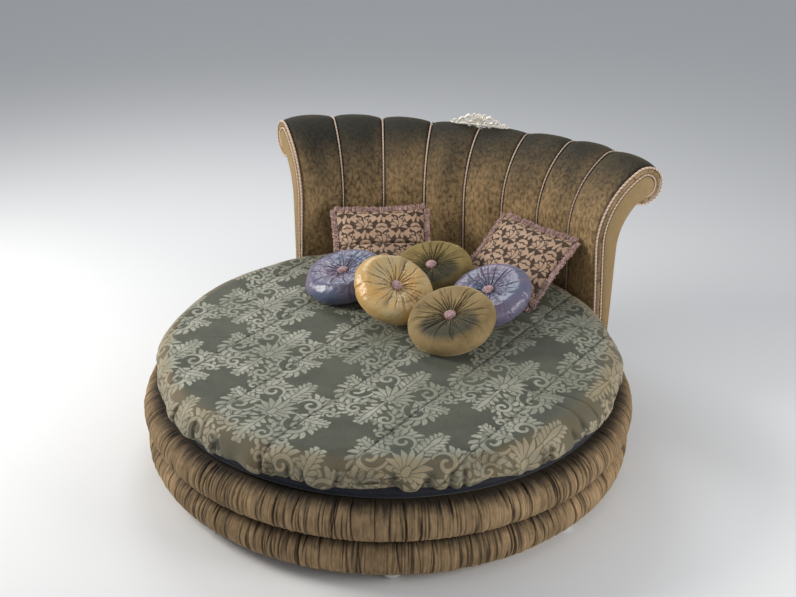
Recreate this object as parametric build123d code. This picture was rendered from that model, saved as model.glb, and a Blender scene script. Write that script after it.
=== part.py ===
from build123d import *
import os
from math import acos, asin, atan2, cos, degrees, hypot, pi, radians, sin

# A round upholstered bed with a channelled headboard that rolls back into a scroll.
# Millimetres, +Z up. The foot of the bed is at -Y and the headboard at +Y.
# The origin is on the floor, under the middle of the round base.
# Headboard angles are degrees about Z from +Y, positive towards +X.

# Clearances
fit_gap = 0.4               # between an upholstered piece and what it lies against
board_gap = 1.1             # between a curved padded skin and the boards behind it
hole_gap = 0.3              # between a bolt, pin or screw and its hole, on the radius
cut_overrun = 5.0           # how far a cutter runs past the face that it opens

# Carcass of the base
floor_gap = 30.0            # underside of the base above the floor
ply_thickness = 18.0
drum_radius = 1060.0
drum_wall_thickness = 9.0
lower_ring_flange_width = 68.0
lower_ring_width = 188.0
upper_ring_width = 91.0
beam_width = 28.0
beam_depth = 120.0
beam_seat_gap = 1.0
post_width = 45.0
post_inset_gap = 1.6
post_spacing_angle = 30
centre_leg_radius = 35.0
centre_leg_pad_radius = 46.0
centre_leg_pad_height = 14.0
dust_cover_thickness = 1.0
dust_cover_margin = 2.0

# Padded rolls round the base
roll_radius = 90.0
upper_roll_depth = 150.0
lower_roll_depth = 140.0

# Deck under the mattress
deck_proud_height = 2.0            # deck above the top of the upper roll
deck_joint_gap = 2.0
deck_vent_radius = 25.0
deck_vent_count = 5
deck_vent_circle_share = 0.62
deck_screw_count = 16
screw_head_radius = 5.0
screw_head_height = 4.0
screw_shank_radius = 2.5
screw_length = 32.0

# Bun feet
foot_count = 8
foot_inset = 24.0
foot_radius = 42.0
foot_sole_radius = 31.0
foot_neck_radius = 34.0
stud_radius = 4.0
stud_depth = 20.0
stud_flange_radius = 11.0
stud_flange_thickness = 2.0

# Mattress and bedspread
mattress_overhang = 64.0
mattress_height = 180.0
mattress_shoulder_radius = 84.0
mattress_edge_radius = 28.0
spread_thickness = 11.0
spread_fullness = 12.0
spread_shoulder_radius = 98.0
spread_hem_rise = 56.0
spread_hem_draw_depth = 11.0
spread_hem_drop_height = 38.0
quilt_spacing = 358.0
quilt_offset_distance = -19.0
quilt_turn = 14.0           # degrees from the head-foot line towards +X
quilt_groove_width = 16.0
quilt_groove_depth = 4.0
quilt_groove_count = 6

# Headboard
headboard_half_angle = 46.7
channel_count = 8
front_foot_gap = 29.0
front_lean = 30.0
straight_height = 478.0
scroll_setback = 266.0
scroll_radius = 104.0
scroll_end_rise = 420.0
scroll_dip_depth = 50.0
scroll_tip_angle = -115.0
pad_thickness = 34.0
channel_crown_height = 16.0
cord_radius = 4.0
cord_slot_width = 9.0
cord_proud_height = 0.6
rib_thickness = 18.0
front_board_thickness = 8.0
plinth_wall_thickness = 18.0
headboard_depth = 92.0
back_lean = 4.0
back_bend_drop = 18.0
back_thickness = 22.0
side_thickness = 14.0
band_width = 30.0
end_cord_radius = 4.5
end_cord_gap = 0.4
bolt_angles = (10.0, 23.0, 37.0)
bolt_radius = 5.0
bolt_length = 46.0
bolt_head_radius = 9.0
bolt_head_height = 6.5
washer_radius = 14.0
washer_thickness = 2.0

# Carved crest on the headboard
crest_half_width = 180.0
crest_height = 80.0
crest_thickness = 12.0
crest_relief_depth = 5.0
crest_setback = 14.0
crest_pin_radius = 4.0
crest_pin_offset_distance = 60.0
crest_pin_socket_depth = 8.0
crest_gap = 0.9

# Loose cushions
cushion_radius = 214.0
cushion_half_thickness = 60.0
tuft_floor_height = 34.0
tuft_seat_radius = 32.0
tuft_mouth_radius = 112.0
button_radius = 30.0
button_height = 19.0
pillow_width = 510.0
pillow_height = 430.0
pillow_half_thickness = 50.0
pillow_edge_thickness = 8.0
pillow_end_thickness = 10.0
fringe_radius = 14.0

# Levels and radii that follow from the sizes above
drum_inner_radius = drum_radius - drum_wall_thickness
lower_ring_outer_radius = drum_radius + lower_ring_flange_width
lower_ring_inner_radius = lower_ring_outer_radius - lower_ring_width
upper_ring_inner_radius = drum_inner_radius - upper_ring_width
deck_screw_circle = (drum_inner_radius + upper_ring_inner_radius) / 2
foot_circle = lower_ring_outer_radius - foot_inset
dust_cover_radius = drum_radius - dust_cover_margin
upper_roll_reach = drum_radius + upper_roll_depth
lower_roll_reach = drum_radius + lower_roll_depth
ring_top = floor_gap + ply_thickness
lower_roll_mid = floor_gap + roll_radius
roll_seam = lower_roll_mid + roll_radius
upper_roll_mid = roll_seam + roll_radius
roll_top = upper_roll_mid + roll_radius
deck_top = roll_top + deck_proud_height
deck_bottom = deck_top - ply_thickness
upper_ring_bottom = deck_bottom - ply_thickness
beam_bottom = deck_bottom - beam_depth
post_circle = drum_inner_radius - post_inset_gap - post_width / 2
mattress_bottom = deck_top + fit_gap
mattress_top = mattress_bottom + mattress_height
mattress_radius = drum_radius + mattress_overhang
spread_reach = mattress_radius + spread_thickness + spread_fullness
spread_top = mattress_top + fit_gap + spread_thickness
spread_hem_height = deck_top + spread_hem_rise
plinth_bottom = roll_seam + fit_gap
plinth_top = roll_top
channel_foot = plinth_top + fit_gap
bolt_height = (plinth_bottom + plinth_top) / 2
front_foot_radius = spread_reach + front_foot_gap
front_bend_radius = front_foot_radius - front_lean
bend_height = plinth_top + straight_height
scroll_centre_radius = front_bend_radius + scroll_setback
scroll_end_top = bend_height + scroll_end_rise
back_low_radius = front_foot_radius + headboard_depth
back_high_radius = back_low_radius + back_lean
back_bend_height = bend_height - back_bend_drop
crest_radius = scroll_centre_radius - crest_setback
channel_step = 2 * headboard_half_angle / channel_count
rib_angles = [(k - channel_count / 2) * channel_step for k in range(channel_count + 1)]
spread_bed = spread_top + fit_gap


def at_angle(centre, radius, angle):
    """The point of a circle at an angle in degrees."""
    return centre + Vector(radius * cos(radians(angle)), radius * sin(radians(angle)))


def arc(centre, radius, start, end):
    """An arc about a centre between two angles, kept under a half circle by the caller."""
    middle = (start + end) / 2
    return ThreePointArc(*[at_angle(centre, radius, a) for a in (start, middle, end)])


def turned(outline, sweep_angle=360.0, start=0.0):
    """An (r, z) outline turned about Z, from the angle start measured from +X."""
    solid = revolve(Plane.XZ * make_face(outline), Axis.Z, sweep_angle)
    return solid.rotate(Axis.Z, start)


def ring(outer, inner, bottom, height):
    """A flat ring about Z."""
    disc = Cylinder(outer, height, align=(Align.CENTER, Align.CENTER, Align.MIN))
    hole = Cylinder(inner, height, align=(Align.CENTER, Align.CENTER, Align.MIN))
    return Pos(0, 0, bottom) * (disc - hole)


def post(radius, bottom, height):
    """An upright cylinder on its lower face."""
    return Pos(0, 0, bottom) * Cylinder(radius, height, align=(Align.CENTER, Align.CENTER, Align.MIN))


def block(width, depth, height, bottom):
    """An upright block centred on Z, on its lower face."""
    return Pos(0, 0, bottom) * Box(width, depth, height, align=(Align.CENTER, Align.CENTER, Align.MIN))


def polar(radius, angle):
    """The place at a radius and an angle from +X."""
    return Pos(radius * cos(radians(angle)), radius * sin(radians(angle)), 0)


def compound(solids, name):
    """Separate solids of one kind, kept in one file."""
    group = Compound(children=list(solids))
    group.label = name
    return group


# The round base

def foot_angles():
    """Angles of the feet from +X, with none on the head-foot line."""
    step = 360 / foot_count
    return [step * (k + 0.5) for k in range(foot_count)]


def deck_screw_angles():
    """Angles of the deck screws, clear of the joint between the deck halves."""
    step = 360 / deck_screw_count
    return [step * (k + 0.5) for k in range(deck_screw_count)]


def make_lower_ring():
    """Bottom ring of the carcass, bored for the studs of the feet."""
    part = ring(lower_ring_outer_radius, lower_ring_inner_radius, floor_gap, ply_thickness)
    flange_recess = stud_flange_thickness + hole_gap
    for angle in foot_angles():
        hole = post(stud_radius + hole_gap, floor_gap - cut_overrun, ply_thickness + 2 * cut_overrun)
        recess = post(stud_flange_radius + hole_gap, ring_top - flange_recess, ply_thickness)
        part -= polar(foot_circle, angle) * (hole + recess)
    return part


def make_upper_ring():
    """Top ring of the carcass, under the edge of the deck."""
    outer = drum_inner_radius - hole_gap
    part = ring(outer, upper_ring_inner_radius, upper_ring_bottom, ply_thickness)
    for angle in deck_screw_angles():
        bottom = upper_ring_bottom - cut_overrun
        hole = post(screw_shank_radius + hole_gap, bottom, ply_thickness + 2 * cut_overrun)
        part -= polar(deck_screw_circle, angle) * hole
    return part


def make_drum_wall():
    """Bent wall between the rings, bored for the bolts of the headboard."""
    wall = ring(drum_radius, drum_inner_radius, ring_top, deck_bottom - ring_top)
    for angle in signed_bolt_angles():
        wall -= bolt_place(angle) * Cylinder(bolt_radius + hole_gap, 2 * post_width)
    return wall


def make_beam(lengthwise):
    """One of two beams that cross under the deck, each notched for the ring and for the other."""
    reach = drum_inner_radius - post_inset_gap
    beam = block(beam_width, 2 * reach, beam_depth, beam_bottom)
    notch_length = reach - upper_ring_inner_radius + beam_seat_gap
    notch_bottom = upper_ring_bottom - hole_gap
    notch = block(beam_width + cut_overrun, notch_length, ply_thickness + cut_overrun, notch_bottom)
    for side in (-1, 1):
        beam -= Pos(0, side * (reach - notch_length / 2), 0) * notch
    slot = block(beam_width + cut_overrun, beam_width + 2 * hole_gap, beam_depth / 2, 0)
    if lengthwise:
        beam -= Pos(0, 0, beam_bottom) * slot
        return beam
    beam -= Pos(0, 0, beam_bottom + beam_depth / 2) * slot
    return beam.rotate(Axis.Z, 90)


def make_posts():
    """Posts between the rings, and shorter ones under the four beam ends."""
    posts = []
    for angle in range(0, 360, post_spacing_angle):
        under_beam = angle % 90 == 0
        top = beam_bottom if under_beam else upper_ring_bottom
        upright = block(post_width, post_width, top - ring_top, ring_top)
        posts.append(upright.moved(Rot(0, 0, angle) * Pos(post_circle, 0, 0)))
    return compound(posts, "frame_posts")


def make_centre_leg():
    """Turned leg under the crossing of the beams, with a flat pad on the floor."""
    leg = post(centre_leg_radius, 0, beam_bottom)
    pad = post(centre_leg_pad_radius, 0, centre_leg_pad_height)
    pad = chamfer(pad.edges().group_by(Axis.Z)[-1], centre_leg_pad_height / 3)
    return leg + pad


def make_dust_cover():
    """Thin cloth under the base, with a hole for the centre leg."""
    hole = centre_leg_pad_radius + beam_seat_gap
    return ring(dust_cover_radius, hole, floor_gap - dust_cover_thickness, dust_cover_thickness)


def make_deck_half(side):
    """Half of the round deck, with vent holes and countersunk screw holes."""
    radius = drum_radius - fit_gap
    disc = post(radius, deck_bottom, ply_thickness)
    keep = block(2 * radius, 3 * radius, ply_thickness, deck_bottom)
    keep = Pos(side * (radius + deck_joint_gap / 2), 0, 0) * keep
    half = disc & keep
    for k in range(deck_vent_count):
        angle = side * 90 - 90 + 180 * (k + 0.5) / deck_vent_count
        angle = angle - 90 if side > 0 else angle + 270
        vent = post(deck_vent_radius, deck_bottom - cut_overrun, ply_thickness + 2 * cut_overrun)
        half -= polar(radius * deck_vent_circle_share, angle) * vent
    for angle in deck_screw_angles():
        if side * cos(radians(angle)) > 0:
            half -= polar(deck_screw_circle, angle) * screw_shape(hole_gap)
    return half


def screw_shape(clearance):
    """A countersunk screw with its head flush with the deck, grown by a clearance."""
    top = deck_top - (0 if clearance else hole_gap)
    head_base = top - screw_head_height - clearance
    shank_bottom = top - screw_length - (cut_overrun if clearance else 0)
    shank = post(screw_shank_radius + clearance, shank_bottom, top - shank_bottom)
    cone = Cone(screw_shank_radius + clearance, screw_head_radius + clearance, screw_head_height + clearance)
    return shank + Pos(0, 0, head_base + (screw_head_height + clearance) / 2) * cone


def make_deck_screws():
    """Screws that hold the deck to the upper ring."""
    screw = screw_shape(0)
    places = [polar(deck_screw_circle, angle) for angle in deck_screw_angles()]
    return compound([screw.moved(place) for place in places], "deck_screws")


def make_foot(angle):
    """A squat bun foot under the lower ring, bored for its stud."""
    middle = floor_gap / 2
    outline = Polyline((foot_sole_radius, 0), (0, 0), (0, floor_gap), (foot_neck_radius, floor_gap))
    bulge = ThreePointArc((foot_neck_radius, floor_gap), (foot_radius, middle), (foot_sole_radius, 0))
    foot = turned([outline, bulge])
    foot -= post(stud_radius + hole_gap, floor_gap - stud_depth, stud_depth + cut_overrun)
    return polar(foot_circle, angle) * foot


def make_foot_studs():
    """Studs with a flange let into the lower ring, one for each foot."""
    bottom = floor_gap - stud_depth + hole_gap
    top = ring_top - hole_gap
    stud = post(stud_radius, bottom, top - bottom)
    stud += post(stud_flange_radius, top - stud_flange_thickness, stud_flange_thickness)
    return compound([stud.moved(polar(foot_circle, angle)) for angle in foot_angles()], "foot_studs")


def make_lower_roll():
    """Fat padded roll round the foot of the drum, wrapped over the lower ring."""
    inner = drum_radius + fit_gap
    ring_edge = lower_ring_outer_radius + fit_gap
    centre = Vector(lower_roll_reach - roll_radius, lower_roll_mid)
    low_angle = -degrees(acos((ring_edge - centre.X) / roll_radius))
    start = at_angle(centre, roll_radius, low_angle)
    bed = ring_top + fit_gap
    edges = Polyline((centre.X, roll_seam), (inner, roll_seam), (inner, bed), (ring_edge, bed), start)
    return turned([edges, arc(centre, roll_radius, low_angle, 0), arc(centre, roll_radius, 0, 90)])


def make_upper_roll():
    """Fat padded roll round the top of the drum, from one end of the headboard to the other."""
    inner = drum_radius + fit_gap
    centre = Vector(upper_roll_reach - roll_radius, upper_roll_mid)
    edges = Polyline((centre.X, roll_top), (inner, roll_top), (inner, roll_seam), (centre.X, roll_seam))
    end_gap = degrees(fit_gap / drum_radius)
    sweep_angle = 360 - 2 * (headboard_half_angle + end_gap)
    outline = [edges, arc(centre, roll_radius, -90, 0), arc(centre, roll_radius, 0, 90)]
    return turned(outline, sweep_angle, 90 + headboard_half_angle + end_gap)


# Mattress and bedspread

def make_mattress():
    """Round mattress with a soft shoulder and a smaller lower edge."""
    low = Vector(mattress_radius - mattress_edge_radius, mattress_bottom + mattress_edge_radius)
    high = Vector(mattress_radius - mattress_shoulder_radius, mattress_top - mattress_shoulder_radius)
    middle = [(0, mattress_bottom), (0, mattress_top)]
    flat = Polyline((low.X, mattress_bottom), *middle, (high.X, mattress_top))
    side = Line((mattress_radius, low.Y), (mattress_radius, high.Y))
    lower_edge = arc(low, mattress_edge_radius, -90, 0)
    return turned([flat, side, lower_edge, arc(high, mattress_shoulder_radius, 0, 90)])


def make_bedspread():
    """Fitted quilted cover over the mattress, drawn in at its gathered hem."""
    high = Vector(spread_reach - spread_shoulder_radius, spread_top - spread_shoulder_radius)
    inner_shoulder = spread_shoulder_radius - spread_thickness
    inner_reach = spread_reach - spread_thickness
    hem_top = spread_hem_height + spread_hem_drop_height
    hem_reach = spread_reach - spread_hem_draw_depth
    outer_hem = ThreePointArc(
        (spread_reach, hem_top),
        (spread_reach - spread_hem_draw_depth / 4, (hem_top + spread_hem_height) / 2),
        (hem_reach, spread_hem_height),
    )
    inner_hem = ThreePointArc(
        (inner_reach, hem_top),
        (inner_reach - spread_hem_draw_depth / 4, (hem_top + spread_hem_height) / 2),
        (inner_reach - spread_hem_draw_depth, spread_hem_height),
    )
    outline = [
        Line((0, spread_top), (high.X, spread_top)),
        arc(high, spread_shoulder_radius, 90, 0),
        Line((spread_reach, high.Y), (spread_reach, hem_top)),
        outer_hem,
        Line((hem_reach, spread_hem_height), (inner_reach - spread_hem_draw_depth, spread_hem_height)),
        inner_hem,
        Line((inner_reach, hem_top), (inner_reach, high.Y)),
        arc(high, inner_shoulder, 0, 90),
        Line((high.X, spread_top - spread_thickness), (0, spread_top - spread_thickness)),
        Line((0, spread_top - spread_thickness), (0, spread_top)),
    ]
    cover = turned(outline)
    half = quilt_groove_width / 2
    groove_outline = Polyline(
        (-half, spread_top + cut_overrun),
        (-half, spread_top),
        (0, spread_top - quilt_groove_depth),
        (half, spread_top),
        (half, spread_top + cut_overrun),
        close=True,
    )
    groove = extrude(Plane.XZ * make_face(groove_outline), spread_reach, both=True)
    for k in range(quilt_groove_count):
        place = quilt_offset_distance + (k - quilt_groove_count / 2 + 0.5) * quilt_spacing
        cover -= groove.moved(Rot(0, 0, -quilt_turn) * Pos(place, 0, 0))
    return cover


# The headboard

def head_plane(angle):
    """Upright plane through Z at a headboard angle, with x outward and y up."""
    turn = radians(angle)
    return Plane(origin=(0, 0, 0), x_dir=(sin(turn), cos(turn), 0), z_dir=(cos(turn), -sin(turn), 0))


def scroll_centre(angle):
    """Centre of the scroll, lower in the middle of the headboard than at its ends."""
    share = (1 + cos(pi * angle / headboard_half_angle)) / 2
    return Vector(scroll_centre_radius, scroll_end_top - scroll_radius - scroll_dip_depth * share)


def front_outline(angle, swell, tip=scroll_tip_angle, foot_height=channel_foot):
    """Edges of the front at an angle: straight, bent back, then round the scroll.

    The bend is the arc that is tangent to both the straight and the scroll. A positive swell
    moves every edge outward by that much. Returns the edges with their first and last points.
    """
    centre = scroll_centre(angle)
    bend = Vector(front_bend_radius, bend_height)
    rise = (bend - Vector(front_foot_radius, channel_foot)).normalized()
    inward = Vector(rise.Y, -rise.X)
    offset = bend - centre
    bend_radius = (scroll_radius**2 - offset.length**2) / (2 * (offset.dot(inward) + scroll_radius))
    bend_centre = bend + inward * bend_radius
    bend_start = degrees(atan2(-inward.Y, -inward.X)) % 360
    join = degrees(atan2(centre.Y - bend_centre.Y, centre.X - bend_centre.X))
    half_way = (join + tip) / 2
    top = bend - inward * swell
    first = top - rise * ((top.Y - foot_height) / rise.Y)
    radius = scroll_radius + swell
    edges = [
        Line(first, top),
        arc(bend_centre, bend_radius + swell, bend_start, join),
        arc(centre, radius, join, half_way),
        arc(centre, radius, half_way, tip),
    ]
    return edges, first, at_angle(centre, radius, tip)


def back_outline(angle, inset, foot_height):
    """Edges of the back at an angle: straight, then curved out to the tip of the scroll."""
    slope = (back_high_radius - back_low_radius) / (back_bend_height - plinth_bottom)
    high = Vector(back_high_radius - inset, back_bend_height)
    low = Vector(high.X - slope * (back_bend_height - foot_height), foot_height)
    tip_angle = scroll_tip_angle - degrees(fit_gap / (scroll_radius - pad_thickness))
    tip = at_angle(scroll_centre(angle), scroll_radius - inset, tip_angle)
    out = tip.X - high.X
    up = tip.Y - high.Y
    radius = (out**2 + up**2) / (2 * out)
    centre = Vector(high.X + radius, high.Y)
    end = degrees(atan2(tip.Y - centre.Y, tip.X - centre.X)) % 360
    return [Line(low, high), arc(centre, radius, 180, end)], low, tip


def strip_face(angle, outer, inner, tip=scroll_tip_angle):
    """Closed face between two swells of the front outline."""
    outside, outside_start, outside_end = front_outline(angle, outer, tip)
    inside, inside_start, inside_end = front_outline(angle, inner, tip)
    ends = [Line(outside_start, inside_start), Line(outside_end, inside_end)]
    return make_face(outside + inside + ends)


def make_channel(index):
    """One padded channel: full between its seams, from the plinth over and round the scroll."""
    slot = degrees(cord_slot_width / 2 / front_bend_radius)
    first = rib_angles[index] + (slot if index > 0 else 0)
    last = rib_angles[index + 1] - (slot if index < channel_count - 1 else 0)
    middle = (first + last) / 2
    swells = ((first, 0), (middle, channel_crown_height), (last, 0))
    faces = [head_plane(angle) * strip_face(angle, swell, -pad_thickness) for angle, swell in swells]
    channel = loft(faces)
    for side in (-1, 1):
        if index == channel_count / 2 - 0.5 + side / 2:
            channel -= crest_pin(side, hole_gap)
    return channel


def make_channel_cords():
    """Twisted cords in the seams between the channels."""
    cords = []
    for angle in rib_angles[1:-1]:
        edges, start, _ = front_outline(angle, cord_proud_height)
        path = head_plane(angle) * Wire(edges)
        profile = Plane(origin=path @ 0, z_dir=path % 0) * Circle(cord_radius)
        cords.append(sweep(profile, path))
    return compound(cords, "channel_cords")


def make_ribs():
    """Plywood ribs behind the seams, with round heads that carry the scroll."""
    ribs = []
    inset = pad_thickness + board_gap
    tip = scroll_tip_angle - degrees(fit_gap / (scroll_radius - pad_thickness))
    foot = plinth_top
    for index, angle in enumerate(rib_angles):
        front, front_start, front_end = front_outline(angle, -inset, tip, foot)
        back, back_start, back_end = back_outline(angle, back_thickness + board_gap, foot)
        face = make_face(front + back + [Line(front_start, back_start), Line(front_end, back_end)])
        plane = head_plane(angle)
        placed = plane * face
        if index == 0:
            ribs.append(extrude(placed, rib_thickness, dir=plane.z_dir))
        elif index == channel_count:
            ribs.append(extrude(placed, rib_thickness, dir=-plane.z_dir))
        else:
            ribs.append(extrude(placed, rib_thickness / 2, both=True))
    notch = make_front_board_blank(fit_gap)
    ribs = [rib - notch for rib in ribs]
    return compound(ribs, "headboard_ribs")


def make_front_board_blank(clearance):
    """Bent board against the backs of the channels, grown by a clearance."""
    inner = front_foot_radius + pad_thickness + fit_gap
    outer = inner + front_board_thickness
    top = bend_height - 2 * channel_crown_height
    shape = ring(outer + clearance, inner - clearance, plinth_top, top - plinth_top + clearance)
    return shape & head_sector(headboard_half_angle, outer)


def head_sector(half_angle, reach):
    """Upright wedge about the headboard's middle, to cut turned pieces to its angle."""
    tall = 2 * scroll_end_top
    outline = Polyline((0, 0), (2 * reach, 0), (2 * reach, tall), (0, tall), close=True)
    return turned(outline, 2 * half_angle, 90 - half_angle)


def make_front_board():
    """Bent board that the lower part of the channels lies against."""
    return make_front_board_blank(0)


def make_scroll_rolls():
    """Round packers between the rib heads, which keep the scroll full."""
    rolls = []
    radius = scroll_radius - pad_thickness - fit_gap
    for index in range(channel_count):
        start_gap = rib_thickness if index == 0 else rib_thickness / 2
        end_gap = rib_thickness if index == channel_count - 1 else rib_thickness / 2
        low_radius = scroll_centre_radius - scroll_radius
        first = rib_angles[index] + degrees((start_gap + fit_gap) / low_radius)
        last = rib_angles[index + 1] - degrees((end_gap + fit_gap) / low_radius)
        faces = []
        for angle in (first, (first + last) / 2, last):
            centre = scroll_centre(angle)
            faces.append(head_plane(angle) * (Pos(centre.X, centre.Y) * Circle(radius)))
        roll = loft(faces)
        for side in (-1, 1):
            if index == channel_count / 2 - 0.5 + side / 2:
                roll -= crest_pin(side, hole_gap)
        rolls.append(roll)
    return compound(rolls, "scroll_packers")


def plinth_outer_radius():
    """Outer face of the plinth, just inside the back panel."""
    return back_low_radius - back_thickness - fit_gap


def make_plinth():
    """Hollow curved box that carries the headboard and is bolted to the drum."""
    inner = drum_radius + hole_gap
    outer = plinth_outer_radius()
    outside = Polyline(
        (inner, plinth_bottom),
        (outer, plinth_bottom),
        (outer, plinth_top),
        (inner, plinth_top),
        close=True,
    )
    wall = plinth_wall_thickness
    hollow = Polyline(
        (inner + wall, plinth_bottom + wall),
        (outer - wall, plinth_bottom + wall),
        (outer - wall, plinth_top - wall),
        (inner + wall, plinth_top - wall),
        close=True,
    )
    face = make_face(outside) - make_face(hollow)
    solid = revolve(Plane.XZ * face, Axis.Z, 2 * headboard_half_angle)
    solid = solid.rotate(Axis.Z, 90 - headboard_half_angle)
    for angle in signed_bolt_angles():
        solid -= bolt_place(angle) * Cylinder(bolt_radius + hole_gap, 2 * post_width)
    return solid


def signed_bolt_angles():
    """Headboard angles of the bolts, the same on both sides of the middle."""
    return [side * angle for side in (-1, 1) for angle in bolt_angles]


def bolt_place(angle):
    """Place on the drum wall at a headboard angle, with the local z pointing outward."""
    turn = radians(angle)
    outward = (sin(turn), cos(turn), 0)
    origin = (drum_inner_radius * sin(turn), drum_inner_radius * cos(turn), bolt_height)
    return Plane(origin=origin, z_dir=outward)


def make_bolts():
    """Bolts with washers, from inside the drum into the plinth."""
    shank = post(bolt_radius, -washer_thickness, bolt_length)
    head_bottom = -washer_thickness - bolt_head_height - hole_gap
    head = post(bolt_head_radius, head_bottom, bolt_head_height + hole_gap)
    washer = post(washer_radius, -washer_thickness - hole_gap, washer_thickness)
    bolt = shank + head + washer
    return compound([bolt_place(angle) * bolt for angle in signed_bolt_angles()], "headboard_bolts")


def make_back_panel():
    """Upholstered back of the headboard, from the lower roll to the tip of the scroll."""
    faces = []
    for angle in rib_angles:
        outer, outer_low, outer_tip = back_outline(angle, 0, plinth_bottom)
        inner, inner_low, inner_tip = back_outline(angle, back_thickness, plinth_bottom)
        ends = [Line(outer_low, inner_low), Line(outer_tip, inner_tip)]
        faces.append(head_plane(angle) * make_face(outer + inner + ends))
    return loft(faces)


def end_extrude(face, side, depth, lift=0.0):
    """A face of the end outline given a thickness outward from the end of the headboard."""
    plane = head_plane(side * headboard_half_angle)
    outward = plane.z_dir * side
    placed = (plane * face).moved(Pos(outward * lift))
    return extrude(placed, depth, dir=outward)


def make_end_band(side):
    """Ruched band up the front edge of one end and round its scroll."""
    outer = -2 * end_cord_radius - end_cord_gap
    face = strip_face(headboard_half_angle, outer, outer - band_width)
    return end_extrude(face, side, side_thickness, fit_gap)


def make_side_panel(side):
    """Plain panel over one end, from the band to the back, with the round centre of the scroll."""
    inset = 4 * end_cord_radius + 3 * end_cord_gap + band_width
    angle = headboard_half_angle
    tip = scroll_tip_angle - degrees(end_cord_gap / (scroll_radius - inset))
    front, front_start, front_end = front_outline(angle, -inset, tip, plinth_bottom)
    back, back_start, back_end = back_outline(angle, 0, plinth_bottom)
    face = make_face(front + back + [Line(front_start, back_start), Line(front_end, back_end)])
    return end_extrude(face, side, side_thickness, fit_gap)


def make_end_cords(side):
    """The two twisted cords along the edges of one end band."""
    cords = []
    inner_inset = 3 * end_cord_radius + 2 * end_cord_gap + band_width
    outward = head_plane(side * headboard_half_angle).z_dir * side
    for inset in (end_cord_radius, inner_inset):
        edges, _, _ = front_outline(headboard_half_angle, -inset)
        path = head_plane(side * headboard_half_angle) * Wire(edges)
        path = path.moved(Pos(outward * (side_thickness - end_cord_radius)))
        profile = Plane(origin=path @ 0, z_dir=path % 0) * Circle(end_cord_radius)
        cords.append(sweep(profile, path))
    return cords


# The carved crest

def crest_base():
    """Height of the crest's foot, on the full crowns of the two middle channels."""
    return scroll_centre(channel_step / 2).Y + scroll_radius + channel_crown_height + crest_gap


def crest_pin(side, clearance):
    """Pin from the crest down to the packer in the scroll, grown by a clearance."""
    bottom = scroll_centre(0).Y + scroll_radius - pad_thickness - crest_pin_socket_depth - clearance
    top = crest_base() + crest_pin_socket_depth
    pin = post(crest_pin_radius + clearance, bottom, top - bottom)
    return pin.moved(Pos(side * crest_pin_offset_distance, crest_radius, 0))


# Half of the crest's outline, its pierced eyes with their rims, and its petals, as shares of the
# half width and the height.
crest_outline_shares = (
    ((0.0, 1.0), (0.10, 0.93), (0.16, 0.72)),
    ((0.16, 0.72), (0.36, 0.98), (0.52, 0.56)),
    ((0.52, 0.56), (0.64, 0.66), (0.70, 0.36)),
    ((0.70, 0.36), (0.84, 0.44), (1.0, 0.02)),
    ((1.0, 0.02), (0.78, 0.0), (0.56, 0.09)),
    ((0.56, 0.09), (0.28, 0.02), (0.0, 0.0)),
)
crest_eye_place_shares = (0.335, 0.50)
crest_eye_size_shares = (0.085, 0.18)
crest_rim_size_shares = (0.15, 0.28)
crest_petal_place_share = 0.56
crest_petal_size_shares = (0.035, 0.34)
crest_petal_angles = (-44, -22, 0, 22, 44)


def crest_point(x_share, y_share):
    """A point of the crest from shares of its half width and height."""
    return Vector(x_share * crest_half_width, y_share * crest_height)


def make_crest():
    """Carved crest: a shell between two pierced scrolls, with leaves that run out to points."""
    edges = []
    for side in (-1, 1):
        for points in crest_outline_shares:
            edges.append(ThreePointArc(*[crest_point(side * x, y) for x, y in points]))
    half = crest_thickness / 2
    plate = extrude(make_face(edges), half, both=True)
    eye_x, eye_y = crest_eye_place_shares
    wide, tall = crest_eye_size_shares
    eye = Ellipse(wide * crest_half_width, tall * crest_height)
    rim_wide, rim_tall = crest_rim_size_shares
    rim = Ellipse(rim_wide * crest_half_width, rim_tall * crest_height)
    for side in (-1, 1):
        middle = crest_point(side * eye_x, eye_y)
        place = Pos(middle.X, middle.Y, 0)
        plate += place * extrude(rim, half + crest_relief_depth)
        plate -= place * extrude(eye, 2 * crest_thickness, both=True)
    petal_wide, petal_tall = crest_petal_size_shares
    petal = Pos(0, crest_petal_place_share * crest_height)
    petal = petal * Ellipse(petal_wide * crest_half_width, petal_tall * crest_height)
    for angle in crest_petal_angles:
        plate += extrude(petal.rotate(Axis.Z, angle), half + crest_relief_depth)
    upright = Plane(origin=(0, crest_radius, crest_base()), x_dir=(1, 0, 0), z_dir=(0, -1, 0))
    crest = upright * plate
    for side in (-1, 1):
        crest -= crest_pin(side, hole_gap)
    return crest


def make_crest_pins():
    """Pins that hold the crest to the scroll."""
    pins = [crest_pin(side, 0) for side in (-1, 1)]
    return compound([pin.moved(Pos(0, 0, -hole_gap)) for pin in pins], "crest_pins")


# Round cushions: the place of the middle as shares of the mattress radius, the lean of the face
# from level, and the way that it leans towards, in degrees from -Y towards +X.
cushion_shares = {
    "blue_cushion_left": (-0.350, 0.314, 15.2, -42.7),
    "gold_cushion": (-0.052, 0.191, 31.4, 61.5),
    "olive_cushion_back": (0.008, 0.533, 16.3, -11.1),
    "blue_cushion_right": (0.354, 0.344, 21.3, -33.8),
    "olive_cushion_front": (0.274, 0.041, 21.3, -18.8),
}

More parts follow.
